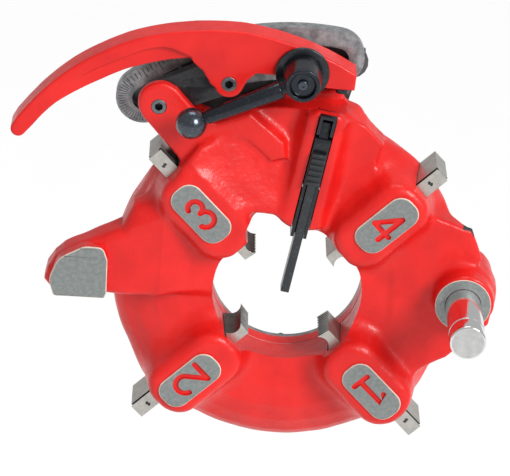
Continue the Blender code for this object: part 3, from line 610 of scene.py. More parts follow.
red_enamel = make_red_enamel()
lever_enamel = make_red_enamel("lever_enamel", cast=0.35)
ground_iron = make_ground_iron()
die_steel = make_steel("die_steel", (0.56, 0.54, 0.50), (0.44, 0.43, 0.40), 0.34)
tooth_steel = make_steel("tooth_steel", (0.16, 0.155, 0.14), (0.10, 0.10, 0.09), 0.5)
bar_steel = make_steel("bar_steel", (0.36, 0.37, 0.38), (0.17, 0.18, 0.19), 0.45, metallic=0.6)
cam_iron = make_steel("cam_iron", (0.16, 0.17, 0.18), (0.10, 0.105, 0.11), 0.5)
bright_steel = make_steel("bright_steel", (0.62, 0.62, 0.61), (0.5, 0.5, 0.5), 0.25)
# near-black iron used as painted shade: in the head's die slots, cavity and socket (over bare iron), on the
# web's top, in the dies' stamps, side grooves and tooth gaps, and in the size bar's tick cuts
painted_shade_iron = make_steel("painted_shade_iron", (0.10, 0.10, 0.105), (0.055, 0.055, 0.06), 0.55)
black_oxide = make_black_oxide()
# pale tan non-metal: a painted highlight on the bevels round the ground faces
edge_highlight = make_steel("edge_highlight", (0.70, 0.58, 0.48), (0.52, 0.43, 0.36), 0.5, metallic=0.0)
pin_steel = make_steel("pin_steel", (0.22, 0.23, 0.24), (0.14, 0.15, 0.16), 0.35)
hub_black = make_black_oxide("hub_black", (0.018, 0.022, 0.03), 0.24, 0.85)
trigger_black = make_black_oxide("trigger_black", (0.026, 0.03, 0.034), 0.4, 0.6)
link_black = make_black_oxide("link_black", (0.03, 0.03, 0.033), 0.38)
gunmetal = make_black_oxide("gunmetal", (0.06, 0.072, 0.09), 0.22, 0.9)
chrome = make_chrome()


# ---- head casting

def head_field(x, y, z):
    """The red casting before machining: dished disc, arms, boss, lug, ear and trigger block."""
    r = np.hypot(x, z)
    wobble = 0.22 * ripple(x, y, z, 13.0)
    profile_r = (0, 46, 58, 70, 80, 88, 92.5, 96)
    profile_y = (17.0, 17.2, 16.6, 18.0, 21.5, 26.0, 30.5, 36.0)
    valley = 5.0 * np.exp(-((x + 9 + 0.2 * (z - 60)) / 5.5) ** 2 - ((z - 60) / 17) ** 2)
    front = np.interp(r, profile_r, profile_y) + valley
    field = smooth_max(r - RIM_R, np.maximum((front - y) * 0.86, y - REAR_Y - 1.3), 4.0)
    for angle in DIE_ANGLES.values():
        field = smooth_min(field, arm_field(x, y, z, angle), 9.0)
    for part, blend in ((boss_field, 8.0), (lug_field, 6.0), (ear_field, 5.0), (block_field, 6.0)):
        field = smooth_min(field, part(x, y, z), blend)
    return field + wobble


def arm_field(x, y, z, angle):
    """A raised arm over one die slot, with draft on its sides and a rounded top edge."""
    along, across = spoke_frame(x, z, angle)
    t = np.clip((y - ARM_FACE) / 22.5, -0.1, 1.3)
    side = rounded_slab(along - 65.6 + t, across, 26.4 + 3 * t, 14.5 + 6.5 * t, 13 + 4 * t) * 0.95
    return between(side, y, ARM_FACE, ARM_REAR, 5.0)


BOSS_WEB = ((58, 52), (80, 47.5), (90.5, 43.6), (95.5, 42.8), (102.4, 25.6), (99.4, 22), (101.9, 18.5),
            (105.9, 14.7), (110.1, 9.6), (110.3, -2), (109, -12), (88, -33), (62, -47))


def boss_field(x, y, z):
    """Round boss for the post on a web that runs back to the rim."""
    reach = np.hypot(x - POST_X, z - POST_Z)
    lean = 0.8 * (x - POST_X) + 0.6 * (z - POST_Z)
    swell = 15.3 + 0.05 * np.clip(y, 0, 30) + 1.3 * lean / np.maximum(reach, 5)
    cone = between(reach - swell, y, 0.8, 40, 1.6)
    front = 14.0 + 0.22 * np.clip(78 - x, 0, 20)
    rear = 21 + 0.95 * np.clip(93 - x, 0, 20) + 0.5 * np.clip(22 - z, 0, 38)
    depth = np.maximum(front - y, (y - np.minimum(rear, 40)) * 0.7)
    return smooth_min(cone, smooth_max(polygon(x, z, BOSS_WEB), depth, 3.0), 5.0)


LUG_OUTLINE = ((-38, -3.4), (-124.8, -3.4), (-129.6, 2.5), (-128.2, 9.0), (-124.4, 15.6), (-119.8, 20.0),
               (-113.5, 23.6), (-105, 27.9), (-90, 35.0), (-84, 46), (-50, 60), (-38, 50))


def lug_field(x, y, z):
    """Lug that lies on the rest: a slab whose top leans back towards the rim."""
    lean = 0.16 * np.clip(y - 12, -8, 14) * np.clip((x + 112) / 30, 0, 1)
    body = polygon(x, z - lean, LUG_OUTLINE)
    slope = 0.42 * np.clip(z - 0.46 * (x + 105) - 26.5, 0, 40) + 0.4 * np.clip(x + 68, 0, 40)
    return between(body, y, LUG_FRONT + slope, LUG_REAR, 5.5)


MOUND_TOP = ((-14, 76), (-20.4, 81.9), (-27.3, 87.3), (-34.4, 89), (-43, 86.3), (-51, 82.5))
BAND = ((-82.4, 96.6), (-73.8, 104.4), (-66, 113), (-52, 98.6), (-44, 95.5), (-34.5, 98.6), (-26.5, 102.4),
        (-7.6, 86.6), (-6, 78)) + MOUND_TOP + ((-57, 68),)
SHELF = ((-36, 84), (-33, 96), (-24, 102), (-14, 104.2), (9, 104.2), (14, 103.4), (23, 101.8), (35, 95.8),
         (45, 86), (36, 60), (-16, 60))
TOWER = ((-26, 88), (-24, 104.5), (-14, 110.3), (21.8, 110.3), (22.4, 106), (24, 98), (31, 86))


def ear_field(x, y, z):
    """Ear for the link, crown band and shelf, mound below them and stop tower behind."""
    ear = np.hypot(x - EAR_CENTRE[0], z - EAR_CENTRE[1]) - EAR_R
    crown = smooth_min(ear, polygon(x, z, BAND), 1.5)
    crown = between(crown, y, LEVER_FRONT + 0.1, CROWN_REAR, 2.6)
    field = smooth_min(crown, np.maximum(mound_field(x, y, z), y - CROWN_REAR), 3.2)
    shelf = between(polygon(x, z, SHELF), y, 19.6, CROWN_REAR, 1.5)
    tower = between(polygon(x, z, TOWER), y, 31.9, CROWN_REAR, 1.6)
    return smooth_min(smooth_min(field, shelf, 8.0), tower, 2.0)


def mound_field(x, y, z):
    """Dome between the third arm and the crown, falling away to a valley beside the trigger block."""
    _, across = spoke_frame(x, z, DIE_ANGLES[3])
    dome = 14.4 + 0.0105 * ((x + 38) ** 2 + 0.8 * (z - 67) ** 2)
    ramp_up = 3.2 + 0.40 * (-across - 14.5)
    front = smooth_min(np.clip(dome, 0, 24), np.clip(ramp_up, 3, 40), 5.0)
    outline = polygon(x, z, MOUND_TOP + ((-59, 72), (-58, 58), (-40, 54), (-5, 48), (-4, 72)))
    return smooth_max(outline - 2.0, front - y, 4.0)


def block_field(x, y, z):
    """Tapered block that carries the trigger over the top of the bore."""
    c, s = math.cos(math.radians(TRIGGER_LEAN)), math.sin(math.radians(TRIGGER_LEAN))
    dx, dz = x - TRIGGER_PIVOT[0], z - TRIGGER_PIVOT[1]
    along, across = -dx * s - dz * c, dx * c - dz * s
    t = np.clip((y - 8.5) / 15.5, -0.1, 1.6)
    left = (-across - 10.0 - 5.5 * t) * 0.94
    right = (across - 9.0 - 0.03 * np.clip(along, 0, 60) - 6.0 * t) * 0.94
    foot = (along - 60 - 1.5 * t + 0.28 * np.abs(across)) * 0.95
    top = -7.4 - along - 1.4 * np.clip((16 - y) / 3, 0, 1) * np.clip((9 - np.abs(across)) / 3, 0, 1)
    side = smooth_max(smooth_max(left, right, 2.0), smooth_max(foot, top, 2.0), 5.0)
    return between(side, y, 8.5, ARM_REAR, 3.2)


def casting_cutter():
    """Everything machined out of the casting, as one closed solid."""
    bore = turned("bore_cut", [(-5, 0, 0), (-5, BORE_R, 0), (3, BORE_R - 0.8, 0),
                               (CAVITY_Y + 1, BORE_R + 1.2, 0), (CAVITY_Y + 1, 0, 0)], steps=120)
    past_rear = REAR_Y + 3
    cavity = turned("cavity_cut", [(CAVITY_Y, 0, 0), (CAVITY_Y, SKIRT_R, 1.0), (past_rear, SKIRT_R, 0),
                                   (past_rear, 0, 0)], steps=120)
    window = arc(0, 0, 150, 73.5, 144, 16) + arc(0, 0, SKIRT_R - 4, 144, 73.5, 16)
    fork = rounded([(-100, 130, 0), (-100, 95, 0), (-84, 90, 6), (-68, 90.5, 6), (-40, 103, 0),
                    (-40, 130, 0)])
    trim = [(-104, 130), (-104, 76), (-70, 70), (-42, 92), (-42, 130)]
    cheek = [(-104, 130), (-104, 99), (-83, 99), (-81.2, 106.6), (-74.3, 110.2), (-62, 110.2), (-42, 104),
             (-42, 130)]
    others = [
        cavity,
        drill("lobe_cut", (-14.5, 37.5), -5, 45, 10.3, segments=48),
        plate("window_cut", [window], 41.0, past_rear),
        plate("fork_cut", [fork], FORK_FRONT, FORK_REAR),
        plate("ear_trim", [trim], EAR_REAR, 37.5),
        plate("cheek_trim", [cheek], FORK_REAR - 0.1, 37.5),
        drill("pin_cut", HEAD_PIVOT, 5, 30.5, PIN_R + HOLE_PLAY, segments=40),
        drill("socket_cut", POST_AT, -3, POST_SOCKET + 0.3, POST_R + HOLE_PLAY, segments=64),
        rod("set_cut", (125, SET_SCREW_Y, POST_Z), (POST_X + 7, SET_SCREW_Y, POST_Z), 3.15),
        bar("groove_cut", -6, 73, -2, 24, TRIGGER_HALF + 0.6),
        bar("notch_cut", -12, -4, -2.1, 9.9, TRIGGER_HALF + 0.4),
        block("rear_cut", (300, 6, 300), (0, past_rear, 0)),
        block("stop_landing", (46, 16, 9.3), (8, 23.5, 108.75))]
    for angle in DIE_ANGLES.values():
        size = (100, 26.8, DIE_WIDTH + 0.5)
        others.append(spoke_block("slot_cut", size, angle, 74, DIE_OFFSET, DIE_MIDDLE))
    others.append(spoke_block("wide_slot_cut", (28.4, 26.9, 8.1), DIE_ANGLES[3], 109.7, -4.1, DIE_MIDDLE))
    for i in range(4):
        others.append(drill("retainer_cut", spoke(90 * i, RETAINER_R), 27, 39, 2.0, segments=16))
    join(bore, *others)
    return bore


def paint_slots(obj):
    """Near-black iron in the die slots, the cam cavity and the post's socket (bare iron, darkened as
    painted shade in these pockets), and on the web's dark top.
    """
    count = len(obj.data.polygons)
    centres = np.empty(count * 3)
    obj.data.polygons.foreach_get("center", centres)
    x, y, z = (centres.reshape(-1, 3) / MM + ORIGIN).T
    # painted shade: slot, cavity and socket faces get the near-black iron, over what is bare iron
    bare_or_shade = (y > CAVITY_Y - 0.05) & (np.hypot(x, z) < SKIRT_R + 0.05)
    bare_or_shade |= np.hypot(x - POST_X, z - POST_Z) < POST_R + 0.2
    bare_or_shade |= (x > 90.5) & (z > 39.5) & (y > 14.8)
    slot_half = DIE_WIDTH / 2 + 0.27
    for angle in DIE_ANGLES.values():
        along, across = spoke_frame(x, z, angle)
        low = -8.4 if angle == DIE_ANGLES[3] else DIE_OFFSET - slot_half
        slot = (across > low) & (across < DIE_OFFSET + slot_half) & (along > 30)
        bare_or_shade |= slot & (y > DIE_FRONT - 0.35) & (y < DIE_REAR + 1.5)
    obj.data.polygons.foreach_set("material_index", bare_or_shade.astype(np.int32))


def make_head():
    head = from_net("head_casting", head_field, (-134.3, -1.3, -97.3), (116, 51, 119.4), HEAD_CELL)
    cut(head, casting_cutter())
    dress(head, "head", [red_enamel, painted_shade_iron], ["head"], sharp=40)
    paint_slots(head)


# ---- ground faces and numerals

def heading(here, there):
    return math.degrees(math.atan2(there[1] - here[1], there[0] - here[0]))


def ribbon(points, half):
    """Outline of a stroke with round ends along a line of points."""
    left, right = [], []
    count = len(points)
    for i in range(count):
        here = Vector(points[i])
        ahead = Vector(points[min(i + 1, count - 1)]) - Vector(points[max(i - 1, 0)])
        side = Vector((-ahead.y, ahead.x)).normalized() * half
        left.append(tuple(here + side))
        right.append(tuple(here - side))
    first = heading(points[0], points[1])
    last = heading(points[-2], points[-1])
    end = arc(*points[-1], half, last + 90, last - 90, 6)[1:-1]
    start = arc(*points[0], half, first - 90, first - 270, 6)[1:-1]
    return left + end + right[::-1] + start


NUMERALS = {
    1: [[(-3.9, 5.3), (0.4, 8.4), (0.4, -8.4)], [(-4.2, -8.4), (4.8, -8.4)]],
    2: [arc(0, 3.3, 5.1, 165, -38, 16) + [(-5.3, -8.4)], [(-5.3, -8.4), (5.6, -8.4)]],
    3: [arc(0, 4.6, 3.9, 160, -90, 16), arc(0, -3.8, 4.5, 90, -160, 18)],
    4: [[(2.9, 8.5), (2.9, -8.5)], [(2.9, 8.5), (-5.6, -3.6)], [(-5.6, -3.6), (5.6, -3.6)]]}


def ground_pad(number, angle):
    """Ground face of one arm, with its numeral cut through to the paint behind."""
    u, v = PAD_HALF
    corners = [(-u, -v, PAD_CORNER), (u, -v, PAD_CORNER), (u, v, PAD_CORNER), (-u, v, PAD_CORNER)]
    outline = [spoke(angle, PAD_R + along, across) for along, across in rounded(corners, 8)]
    pad = plate(f"pad_{number}", [outline], 0.0, PAD_REAR)
    highlight_bevel(pad)
    for stroke in NUMERALS[number]:
        shape = [spoke(angle, PAD_R + up, -right) for right, up in ribbon(stroke, STROKE)]
        cut(pad, plate("numeral_cut", [shape], -1, 2.5))
    finish_ground(pad)


def highlight_bevel(face):
    """One flat bevel round a ground face, which gets a pale tan painted highlight."""
    soften(face, HIGHLIGHT_BEVEL_WIDTH, 1, 50, clamp=False)


def finish_ground(pad):
    """Keep paint on everything but the ground plane and its edge bevel, which gets a pale tan painted
    highlight.
    """
    dress(pad, "head", [ground_iron, red_enamel, edge_highlight], sharp=25)

    def coat(x, y, z, facing):
        if facing < -0.95 and y < 0.05:
            return 0
        # painted highlight: the bevel faces round the ground face get the pale tan edge colour
        return 2 if y < 0.6 and abs(facing) > 0.3 else 1

    paint(pad, coat)


def make_ground_faces():
    for number, angle in DIE_ANGLES.items():
        ground_pad(number, angle)
    lug = rounded([(-97.2, -3.2, 0), (-124, -3.2, 2), (-127, 6, 9), (-122.4, 18.6, 12), (-109, 26.2, 9),
                   (-99, 26, 4), (-96.4, 19, 6), (-96, -0.4, 0)], 8)
    lug_face = plate("rest_lug_face", [lug], 0.0, LUG_FRONT + 2.5)
    highlight_bevel(lug_face)
    finish_ground(lug_face)
    inner, outer = POST_R + 0.2, BOSS_R - 0.1
    finish_ground(turned("boss_face_ring", [(0.0, inner, 0), (0.0, outer, 0.5), (2.4, outer, 0),
                                            (2.4, inner, 0)], POST_AT, 72, closed=True))


# ---- dies

def prism(name, corners, reach):
    """Closed solid from a 3-D polygon pushed along a vector."""
    bm = bmesh.new()
    near = [bm.verts.new(corner) for corner in corners]
    far = [bm.verts.new(Vector(corner) + Vector(reach)) for corner in corners]
    bm.faces.new(near)
    bm.faces.new(far)
    for i in range(len(near)):
        bm.faces.new((near[i - 1], near[i], far[i], far[i - 1]))
    return from_bmesh(name, bm)


def make_die(number, angle):
    """Chaser with a blunt toothed tip scooped on one flank, a groove along each side and its cam lug."""
    low, high = DIE_OFFSET - DIE_WIDTH / 2, DIE_OFFSET + DIE_WIDTH / 2
    side = smooth([(DIE_TIP_R + along, across) for along, across in DIE_SCOOP], 3)
    side += [(DIE_END_R, low), (DIE_END_R, high), (DIE_TIP_R + 0.8, high)]
    die = plate(f"die_{number}_body", [[spoke(angle, u, v) for u, v in side]], DIE_FRONT, DIE_REAR)
    join(die, drill("lug", spoke(angle, LUG_R), DIE_REAR - 2, 45, 3.5))
    cut_teeth(die, angle)
    for edge in (low, high):
        cut(die, spoke_block("side_groove", (66, 2.6, 2.4), angle, 75, edge, DIE_FRONT + 1.65))
    stamp = (angle, STAMP_R, DIE_OFFSET + 0.4, DIE_FRONT)
    cut(die, spoke_block("stamp", (1.3, 0.7, 3.0), *stamp),
        spoke_block("stamp", (2.5, 0.7, 1.1), *stamp, 45))
    soften(die, 0.22, 1, 50)
    dress(die, f"die_{number}", [die_steel, painted_shade_iron, tooth_steel], [f"die_{number}"])

    def bare_or_shade(x, y, z, facing):
        along, across = spoke_frame(x, z, angle)
        depth = y - DIE_FRONT
        in_stamp = math.hypot(along - STAMP_R, across - stamp[2]) < 1.9 and 0.05 < depth < 0.6
        in_groove = along > 42 and low + 0.02 < across < high - 0.02 and 0.3 < depth < 3.05
        in_teeth = along < DIE_TIP_R + 2 and abs(facing) > 0.2 and depth > 0.3
        # painted shade: the stamp, the side grooves and the gaps between the teeth get the near-black iron
        if in_stamp or in_groove or in_teeth:
            return 1
        flank = DIE_TIP_R + 0.3 < along < DIE_TIP_R + 11 and across < -1
        return 2 if flank and depth > 0.3 else 0

    paint(die, bare_or_shade)


def cut_teeth(die, angle):
    """Thread teeth across the tip and part-way up both of its flanks."""
    low = DIE_OFFSET - DIE_WIDTH / 2 - 1
    tip_x, tip_z = spoke(angle, DIE_TIP_R - 1.5, low)
    root_x, root_z = spoke(angle, DIE_TIP_R + 1.5, low)
    reach_x, reach_z = spoke(angle, 0, DIE_WIDTH + 2)
    for i in range(int((DIE_REAR - DIE_FRONT) / TOOTH_PITCH)):
        y = DIE_FRONT + TOOTH_PITCH * (i + 0.62)
        groove = [(tip_x, y - 1.6, tip_z), (tip_x, y + 1.6, tip_z), (root_x, y, root_z)]
        cut(die, prism("tooth", groove, (reach_x, 0, reach_z)))


# ---- cam, size bar, collar and post

def make_size_bar():
    """Slotted bar behind the lever: size ticks along its top, fine ones round its left end."""
    outlines = [ring_slot(BAR_MID_R, BAR_HALF, BAR_FROM, BAR_TO),
                ring_slot(SLOT_MID_R, SLOT_HALF, BAR_FROM, BAR_TO)[::-1]]
    plank = plate("size_bar_plate", outlines, BAR_FRONT, BAR_REAR)
    soften(plank, 0.7, 3, 50)
    for i in range(22):
        length = 6.2 if i % 4 == 0 else 3.6
        radius = BAR_MID_R + BAR_HALF - 1.0 - length / 2
        cut(plank, spoke_block("tick", (length, 0.7, 0.45), 111.0 + 0.95 * i, radius, 0, BAR_FRONT))
    for i, (x, z) in enumerate(arc(*spoke(BAR_TO, BAR_MID_R), 11.2, 138, 299, 23)):
        cut(plank, block("end_tick", (4.6, 0.5, 0.32), (x, BAR_FRONT, z), -(138 + 7 * i)))
    dress(plank, "cam", [bar_steel, painted_shade_iron], ["size_bar"])
    # painted shade: the floors of the tick cuts get the near-black iron
    paint(plank, lambda x, y, z, facing: 0.2 < y - BAR_FRONT < 0.5 and abs(facing) > 0.9)


def make_collar():
    """Collar that holds the cam to the back of the head, with four cap screws."""
    collar = turned("cam_collar", [(37.3, 41.0, 0.4), (37.3, 47.5, 0.4), (47.0, 47.5, 0.2),
                                   (47.0, 52.0, 0.6), (49.8, 52.0, 0.8), (49.8, 41.0, 0.8),
                                   (45.8, 41.0, 0)], steps=128, closed=True)
    for i in range(4):
        cut(collar, drill("hole", spoke(90 * i, RETAINER_R), 30, 55, 1.85, segments=20))
    dress(collar, "head", [bar_steel, red_enamel], ["cam_retainer"])
    paint(collar, lambda x, y, z, facing: math.hypot(x, z) < 41.2 and y < 45.7)


def make_post():
    """Polished post with a snap groove near its bare end."""
    end = POST_END
    post = turned("carriage_post", [(end, 0, 0), (end, POST_R, 1.1), (end + 10.0, POST_R, 0.2),
                                    (end + 10.35, POST_R - 0.4, 0.15), (end + 11.1, POST_R - 0.4, 0.15),
                                    (end + 11.45, POST_R, 0.2), (POST_SOCKET, POST_R, 0.3),
                                    (POST_SOCKET, 0, 0)], POST_AT, 96)
    dress(post, "head", [chrome, bright_steel], ["mounting_post"])
    paint(post, lambda x, y, z, facing: y < end + 0.02)


# ---- throw-out lever and link

def smooth(points, steps=4):
    """Curve through open points, by Catmull-Rom."""
    knots = [Vector(point) for point in points]
    curve = []
    for i in range(len(knots) - 1):
        before, here, there = knots[max(i - 1, 0)], knots[i], knots[i + 1]
        after = knots[min(i + 2, len(knots) - 1)]
        for k in range(steps):
            t = k / steps
            curve.append(tuple(0.5 * (2 * here + (there - before) * t
                                      + (2 * before - 5 * here + 4 * there - after) * t ** 2
                                      + (3 * here - before - 3 * there + after) * t ** 3)))
    curve.append(tuple(knots[-1]))
    return curve


def lever_outline():
    """Side view of the lever: block at the clamp, long back, rounded tip, lobe round the pivot."""
    back = smooth([(19, 131.8), (9.8, 136.1), (-1.9, 140.4), (-15.7, 144.2), (-31.3, 146.9),
                   (-45, 147.2), (-60, 146), (-76.4, 143), (-92.5, 137.8), (-108.6, 129.5),
                   (-120.7, 121.4), (-132.6, 110.6), (-141, 101), (-148, 91.8)])
    tip = arc(-146.9, 85.4, 4.0, 150, 320, 10)
    belly = smooth([(-139.6, 88), (-134.8, 94.2), (-127.9, 101.4), (-119.9, 107.2), (-110, 113),
                    (-92, 121.8), (-73.9, 127.6), (-60, 130.2)])
    lobe = [(-52.6, 124.2), (-48.2, 117)] + arc(*LEVER_PIVOT, 7.6, 200, 330, 12)
    foot = [(-29.3, 120.5), (-25, 124.6), (-16, 124.4), (0, 119.5), (13, 118.8), (26.6, 118.5), (27, 127.4)]
    return back + tip + belly + lobe + foot


STEP = smooth([(-128.1, 107.4), (-121.8, 112.8), (-113, 118.8), (-108.1, 121.7), (-96.1, 127.8),
               (-88, 131.9), (-81.6, 134.5), (-74.3, 135.9), (-67.6, 135), (-59.2, 131.7)], 2)


def lever_field(x, y, z):
    """Plate lever whose front steps back below a line along the handle, fading out towards the tip."""
    solid = between(polygon(x, z, lever_outline()), y, LEVER_FRONT + 0.1, LEVER_REAR - 0.1, 1.3)
    below = polygon(x, z, STEP + [(-55, 120), (-80, 100), (-135, 85), (-150, 95)])
    fade = 3.0 * np.clip((x + 124) / 30, 0, 1)
    recess = smooth_max(below, y - LEVER_FRONT - fade, 1.2)
    return smooth_max(solid, -recess, 0.8) + 0.05 * ripple(x, y, z, 9.0)


def make_lever():
    lever = from_net("throwout_lever_casting", lever_field, (-153.2, 10.3, 79.2), (29.5, 30.9, 149.9),
                     LEVER_CELL)
    fork = plate("fork_cut", [rounded([(-90, 100, 0), (-26.5, 100, 0), (-26.5, 124, 6), (-34, 135, 8),
                                       (-62, 134.5, 6), (-84, 122, 3)])], FORK_FRONT, FORK_REAR)
    join(fork, drill("pin_cut", LEVER_PIVOT, 5, LEVER_REAR - 1, PIN_R + 0.12, segments=40))
    x, y = STOP_SCREW
    stop = rod("stop_cut", (x, y, 110), (x, y, 125.3), 1.8, segments=24)
    cut(lever, fork, drill("stud_cut", CLAMP_AXIS, 5, 40, STUD_R + 0.2), stop)
    dress(lever, "lever", [lever_enamel], ["throwout_lever"], sharp=40)


def make_stop_screw():
    """Screw under the lever's block whose head stands over the crown."""
    x, y = STOP_SCREW
    screw = rod("stop_screw", (x, y, 125), (x, y, 117), 1.6)
    join(screw, rod("stop_screw_head", (x, y, 117.6), (x, y, 114.6), 3.4, segments=48, edge=0.35))
    dress(screw, "lever", [black_oxide], ["lever_stop_screw"], sharp=32)


def make_link():
    """Flat humped link between the head's ear and the lever."""
    start = Vector(HEAD_PIVOT)
    span = (Vector(LEVER_PIVOT) - start).length
    lean = math.radians(heading(HEAD_PIVOT, LEVER_PIVOT))
    hump = rounded([(-8.2, -7.4, 6.5), (span + 6.6, -7.0, 6), (span + 6.6, 6.2, 6), (span - 8, 12.6, 8),
                    (-3, 10.6, 7), (-8.2, 4, 5)], 10)
    outline = [(start[0] + u * math.cos(lean) - v * math.sin(lean),
                start[1] + u * math.sin(lean) + v * math.cos(lean)) for u, v in hump]
    holes = [arc(*pivot, PIN_R + HOLE_PLAY, 360, 0, 40)[:-1] for pivot in (HEAD_PIVOT, LEVER_PIVOT)]
    link = plate("toggle_link", [outline] + holes, 17.3, 25.7)
    soften(link, 0.8, 3, 50)
    dress(link, "link", [link_black], ["link"])


def make_link_pin(node, at, rear, body):
    """Pin with a hexagon socket, flush in the front of the ear or lever."""
    front = LEVER_FRONT - 0.2
    profile = [(front, 0, 0), (front, PIN_R, 0.45), (rear, PIN_R, 0.3), (rear, 0, 0)]
    pin = turned(node + "_body", profile, at, 48)
    cut(pin, drill("hex", at, 8, LEVER_FRONT + 4, 2.3, segments=6))
    dress(pin, body, [pin_steel, black_oxide], [node])
    # painted shade: the hexagon socket's walls and floor are coloured black oxide
    paint(pin, lambda x, y, z, facing: math.hypot(x - at[0], z - at[1]) < 2.32 and y > front + 0.05)


# ---- size clamp

def make_clamp():
    """Stud through the lever and bar, its washer, and the lever's hub with a recessed face."""
    inner = STUD_R + 0.3
    stud = turned("size_clamp_stud", [(-1.5, 0, 0), (-1.5, STUD_R, 0.8), (41.3, STUD_R, 0),
                                      (41.3, 9.0, 0.6), (46.7, 8.8, 1.2), (46.7, 0, 0)], CLAMP_AXIS, 64)
    washer = turned("size_clamp_washer", [(9.4, inner, 0.2), (9.4, 14.0, 0.6), (11.7, 14.0, 0.5),
                                          (11.7, inner, 0.2)], CLAMP_AXIS, 96, closed=True)
    for piece, node in ((stud, "clamp_stud"), (washer, "clamp_washer")):
        dress(piece, "lever", [black_oxide], [node], sharp=35)
    return turned("size_clamp_hub", [(-6.0, 0.0, 0), (-6.0, 6.0, 0.5), (-8.4, 7.0, 0.3), (-8.4, 8.8, 0.5),
                                     (-6.4, 9.1, 0.5), (2.0, 10.0, 2.0), (7.6, 10.6, 0.6), (9.1, 9.9, 0.5),
                                     (9.1, inner, 0.2), (-2.2, inner, 0), (-2.2, 0.0, 0)], CLAMP_AXIS, 96)


def make_clamp_lever():
    """Ball lever: turned hub, tapered arm and gunmetal ball."""
    hub = make_clamp()
    hub_at = Vector((CLAMP_AXIS[0], -1.4, CLAMP_AXIS[1]))
    ball_at = Vector(BALL_AT)
    along = (ball_at - hub_at).normalized()
    cut(hub, rod("arm_socket", hub_at + along * 7.9, hub_at + along * 22, 3.4))
    arm = rod("size_clamp_arm", hub_at + along * 11.8, ball_at - along * 8.6, 4.8, 3.7, 48, 0.5)
    join(arm, rod("arm_neck", hub_at + along * 8.3, ball_at - along * 6.3, 3.0))
    bm = bmesh.new()
    bmesh.ops.create_uvsphere(bm, u_segments=64, v_segments=40, radius=BALL_R)
    ball = from_bmesh("size_clamp_ball", bm, ball_at)
    cut(ball, rod("ball_socket", ball_at - along * 20, ball_at - along * 6.0, 3.5))
    screw = turned("hub_centre_screw", [(-7.9, 0, 0), (-7.9, 2.6, 0.5), (-2.9, 2.6, 0), (-2.9, 0, 0)],
                   CLAMP_AXIS, 48)
    cut(screw, drill("dimple", CLAMP_AXIS, -9, -7.2, 0.9))
    cut(hub, drill("screw_room", CLAMP_AXIS, -10, -2.6, 2.8))
    for piece, node, material in ((hub, "clamp_hub", hub_black), (arm, "clamp_arm", hub_black),
                                  (ball, "clamp_ball", gunmetal), (screw, "hub_cap_screw", gunmetal)):
        dress(piece, "clamp_lever", [material], [node], sharp=35)


# ---- trigger

def make_trigger():
    """Fork on the casting, its pin, the channelled trigger and the serrated blade that slides in it."""
    half = TRIGGER_HALF
    pin_y = TRIGGER_PIN_Y
    bracket = bar("trigger_fork", -8.0, 9.0, 6.4, 16.4, half)
    cut(bracket, bar("room", -6.2, 12, 2, 24, 2.75), bar("below", 2.8, 12, 2, 24, 6),
        cross_pin("hole", 0, pin_y, -8, 8, 1.95))
    soften(bracket, 0.35, 2, 50)
    pin = cross_pin("trigger_pin", 0, pin_y, -half, half, 1.8, 0.3)
    lever = bar("trigger_channel", 5.2, 62.5, 7.4, 19.0, half)
    join(lever, bar("head", -3.6, 6.5, 9.4, 18.6, 2.35))
    cut(lever, bar("channel", 13.5, 66, 4, 13.4, 2.6), cross_pin("hole", 0, pin_y, -8, 8, 1.95),
        cross_pin("hole", *SLIDE_SCREW, -6, 6, 1.25))
    soften(lever, 0.35, 2, 50)
    slide = bar("trigger_blade", 19.0, 94.0, 5.2, 13.0, 2.25)
    join(slide, bar("thumb", 12.6, 30.6, 3.8, 7.0, 3.7))
    for i in range(5):
        start = 13.8 + 3.3 * i
        cut(slide, bar("serration", start, start + 1.6, 2, 5.0, 6))
    soften(slide, 0.3, 2, 50)
    dress(bracket, "head", [black_oxide], ["trigger_bracket"])
    dress(pin, "head", [bright_steel], ["trigger_pivot_pin"])
    dress(lever, "trigger", [black_oxide], ["trigger_lever"])
    dress(slide, "trigger_slide", [trigger_black], ["trigger_slide"])
    for i, side in ((1, -1), (2, 1)):
        screw = cross_pin(f"channel_screw_{i}", *SLIDE_SCREW, side * 2.9, side * 4.7, 1.1, 0.2)
        dress(screw, "trigger", [bright_steel], [f"slide_screw_{i}"], sharp=32)


def finish_cad_nodes():
    """Materials for the CAD pieces that show as they are."""
    kept = {"cam_plate": cam_iron, "slot_guard": cam_iron, "trigger_spring": bright_steel,
            "post_set_screw": black_oxide}
    for kind, count in (("bracket", 2), ("size_bar", 2), ("retainer", 4)):
        kept.update({f"{kind}_screw_{i + 1}": black_oxide for i in range(count)})
    for name, material in kept.items():
        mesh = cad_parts[name].data
        mesh.materials.clear()
        mesh.materials.append(material)


make_head()
make_ground_faces()
for die_number, die_angle in DIE_ANGLES.items():
    make_die(die_number, die_angle)
make_size_bar()
make_collar()
make_post()
make_lever()
make_stop_screw()
make_link()
make_link_pin("link_pin_head", HEAD_PIVOT, 30.9, "head")
make_link_pin("link_pin_lever", LEVER_PIVOT, 27.3, "lever")
make_clamp_lever()
make_trigger()
finish_cad_nodes()


# ---- camera, light and floor

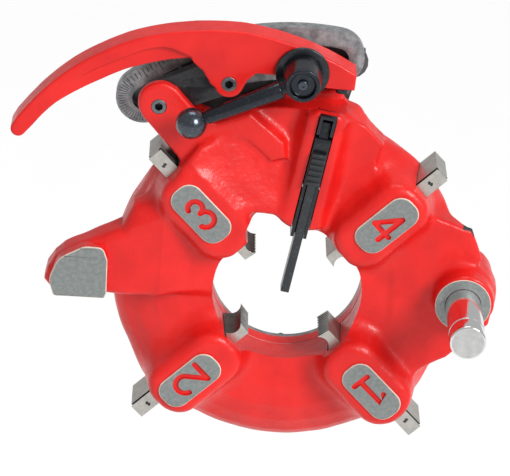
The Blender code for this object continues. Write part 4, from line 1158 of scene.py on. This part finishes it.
def make_camera():
    """Long lens looking down on the front, rolled as the tool was laid."""
    azimuth, elevation, roll = (math.radians(angle) for angle in VIEW_ANGLES)
    back = Vector((-math.sin(azimuth) * math.cos(elevation), -math.cos(azimuth) * math.cos(elevation),
                   math.sin(elevation)))
    level = (-back).cross(Vector((0, 0, 1))).normalized()
    rise = level.cross(-back)
    right = math.cos(roll) * level + math.sin(roll) * rise
    up = -math.sin(roll) * level + math.cos(roll) * rise
    place = Vector(-ORIGIN) + VIEW_SHIFT[0] * right + VIEW_SHIFT[1] * up + VIEW_DISTANCE * back
    camera = new_object("camera", bpy.data.cameras.new("camera"))
    matrix = Matrix((right, up, back)).transposed().to_4x4()
    matrix.translation = place * MM
    camera.matrix_world = matrix
    camera.data.lens = LENS
    camera.data.clip_start = 0.05
    camera.data.clip_end = 20
    bpy.context.scene.camera = camera


def make_floor():
    """Plain pale floor well below the object."""
    z = -(RIM_R + POST_Z + FLOOR_DROP) * MM
    a, b = -FLOOR_HALF, FLOOR_HALF
    mesh = bpy.data.meshes.new("floor")
    mesh.from_pydata([(a, a, z), (b, a, z), (b, b, z), (a, b, z)], [], [(0, 1, 2, 3)])
    floor = new_object("floor", mesh)
    pale = new_material("pale_floor", (0.97, 0.97, 0.97), 0.9)
    feed(pale, Roughness=ramp(pale, noise(pale, position(pale), 0.02), 0.3, 0.7, 0.85, 0.95))
    mesh.materials.append(pale)


def make_lamp(name, kind, energy, aim, place=(0, 0, 0)):
    """Light that shines along a direction."""
    lamp = bpy.data.lights.new(name, kind)
    lamp.energy = energy
    obj = new_object(name, lamp)
    obj.location = place
    obj.rotation_euler = Vector(aim).to_track_quat("-Z", "Y").to_euler()
    return lamp


def make_studio():
    """White surroundings, a broad sun from the front's upper right and a soft light overhead."""
    world = bpy.data.worlds.new("studio")
    world.use_nodes = True
    background = world.node_tree.nodes["Background"]
    background.inputs["Color"].default_value = (1, 1, 1, 1)
    background.inputs["Strength"].default_value = 0.5
    bpy.context.scene.world = world
    key = make_lamp("key", "SUN", 2.9, (-0.55, 0.65, -0.55))
    key.angle = math.radians(24)
    top = make_lamp("top", "AREA", 3.0, (0.01, -0.25, -1.19), (-0.1, 0.25, 1.2))
    top.shape = "RECTANGLE"
    top.size, top.size_y = 0.6, 0.35
    bpy.context.scene.view_settings.view_transform = "Standard"


make_camera()
make_floor()
make_studio()
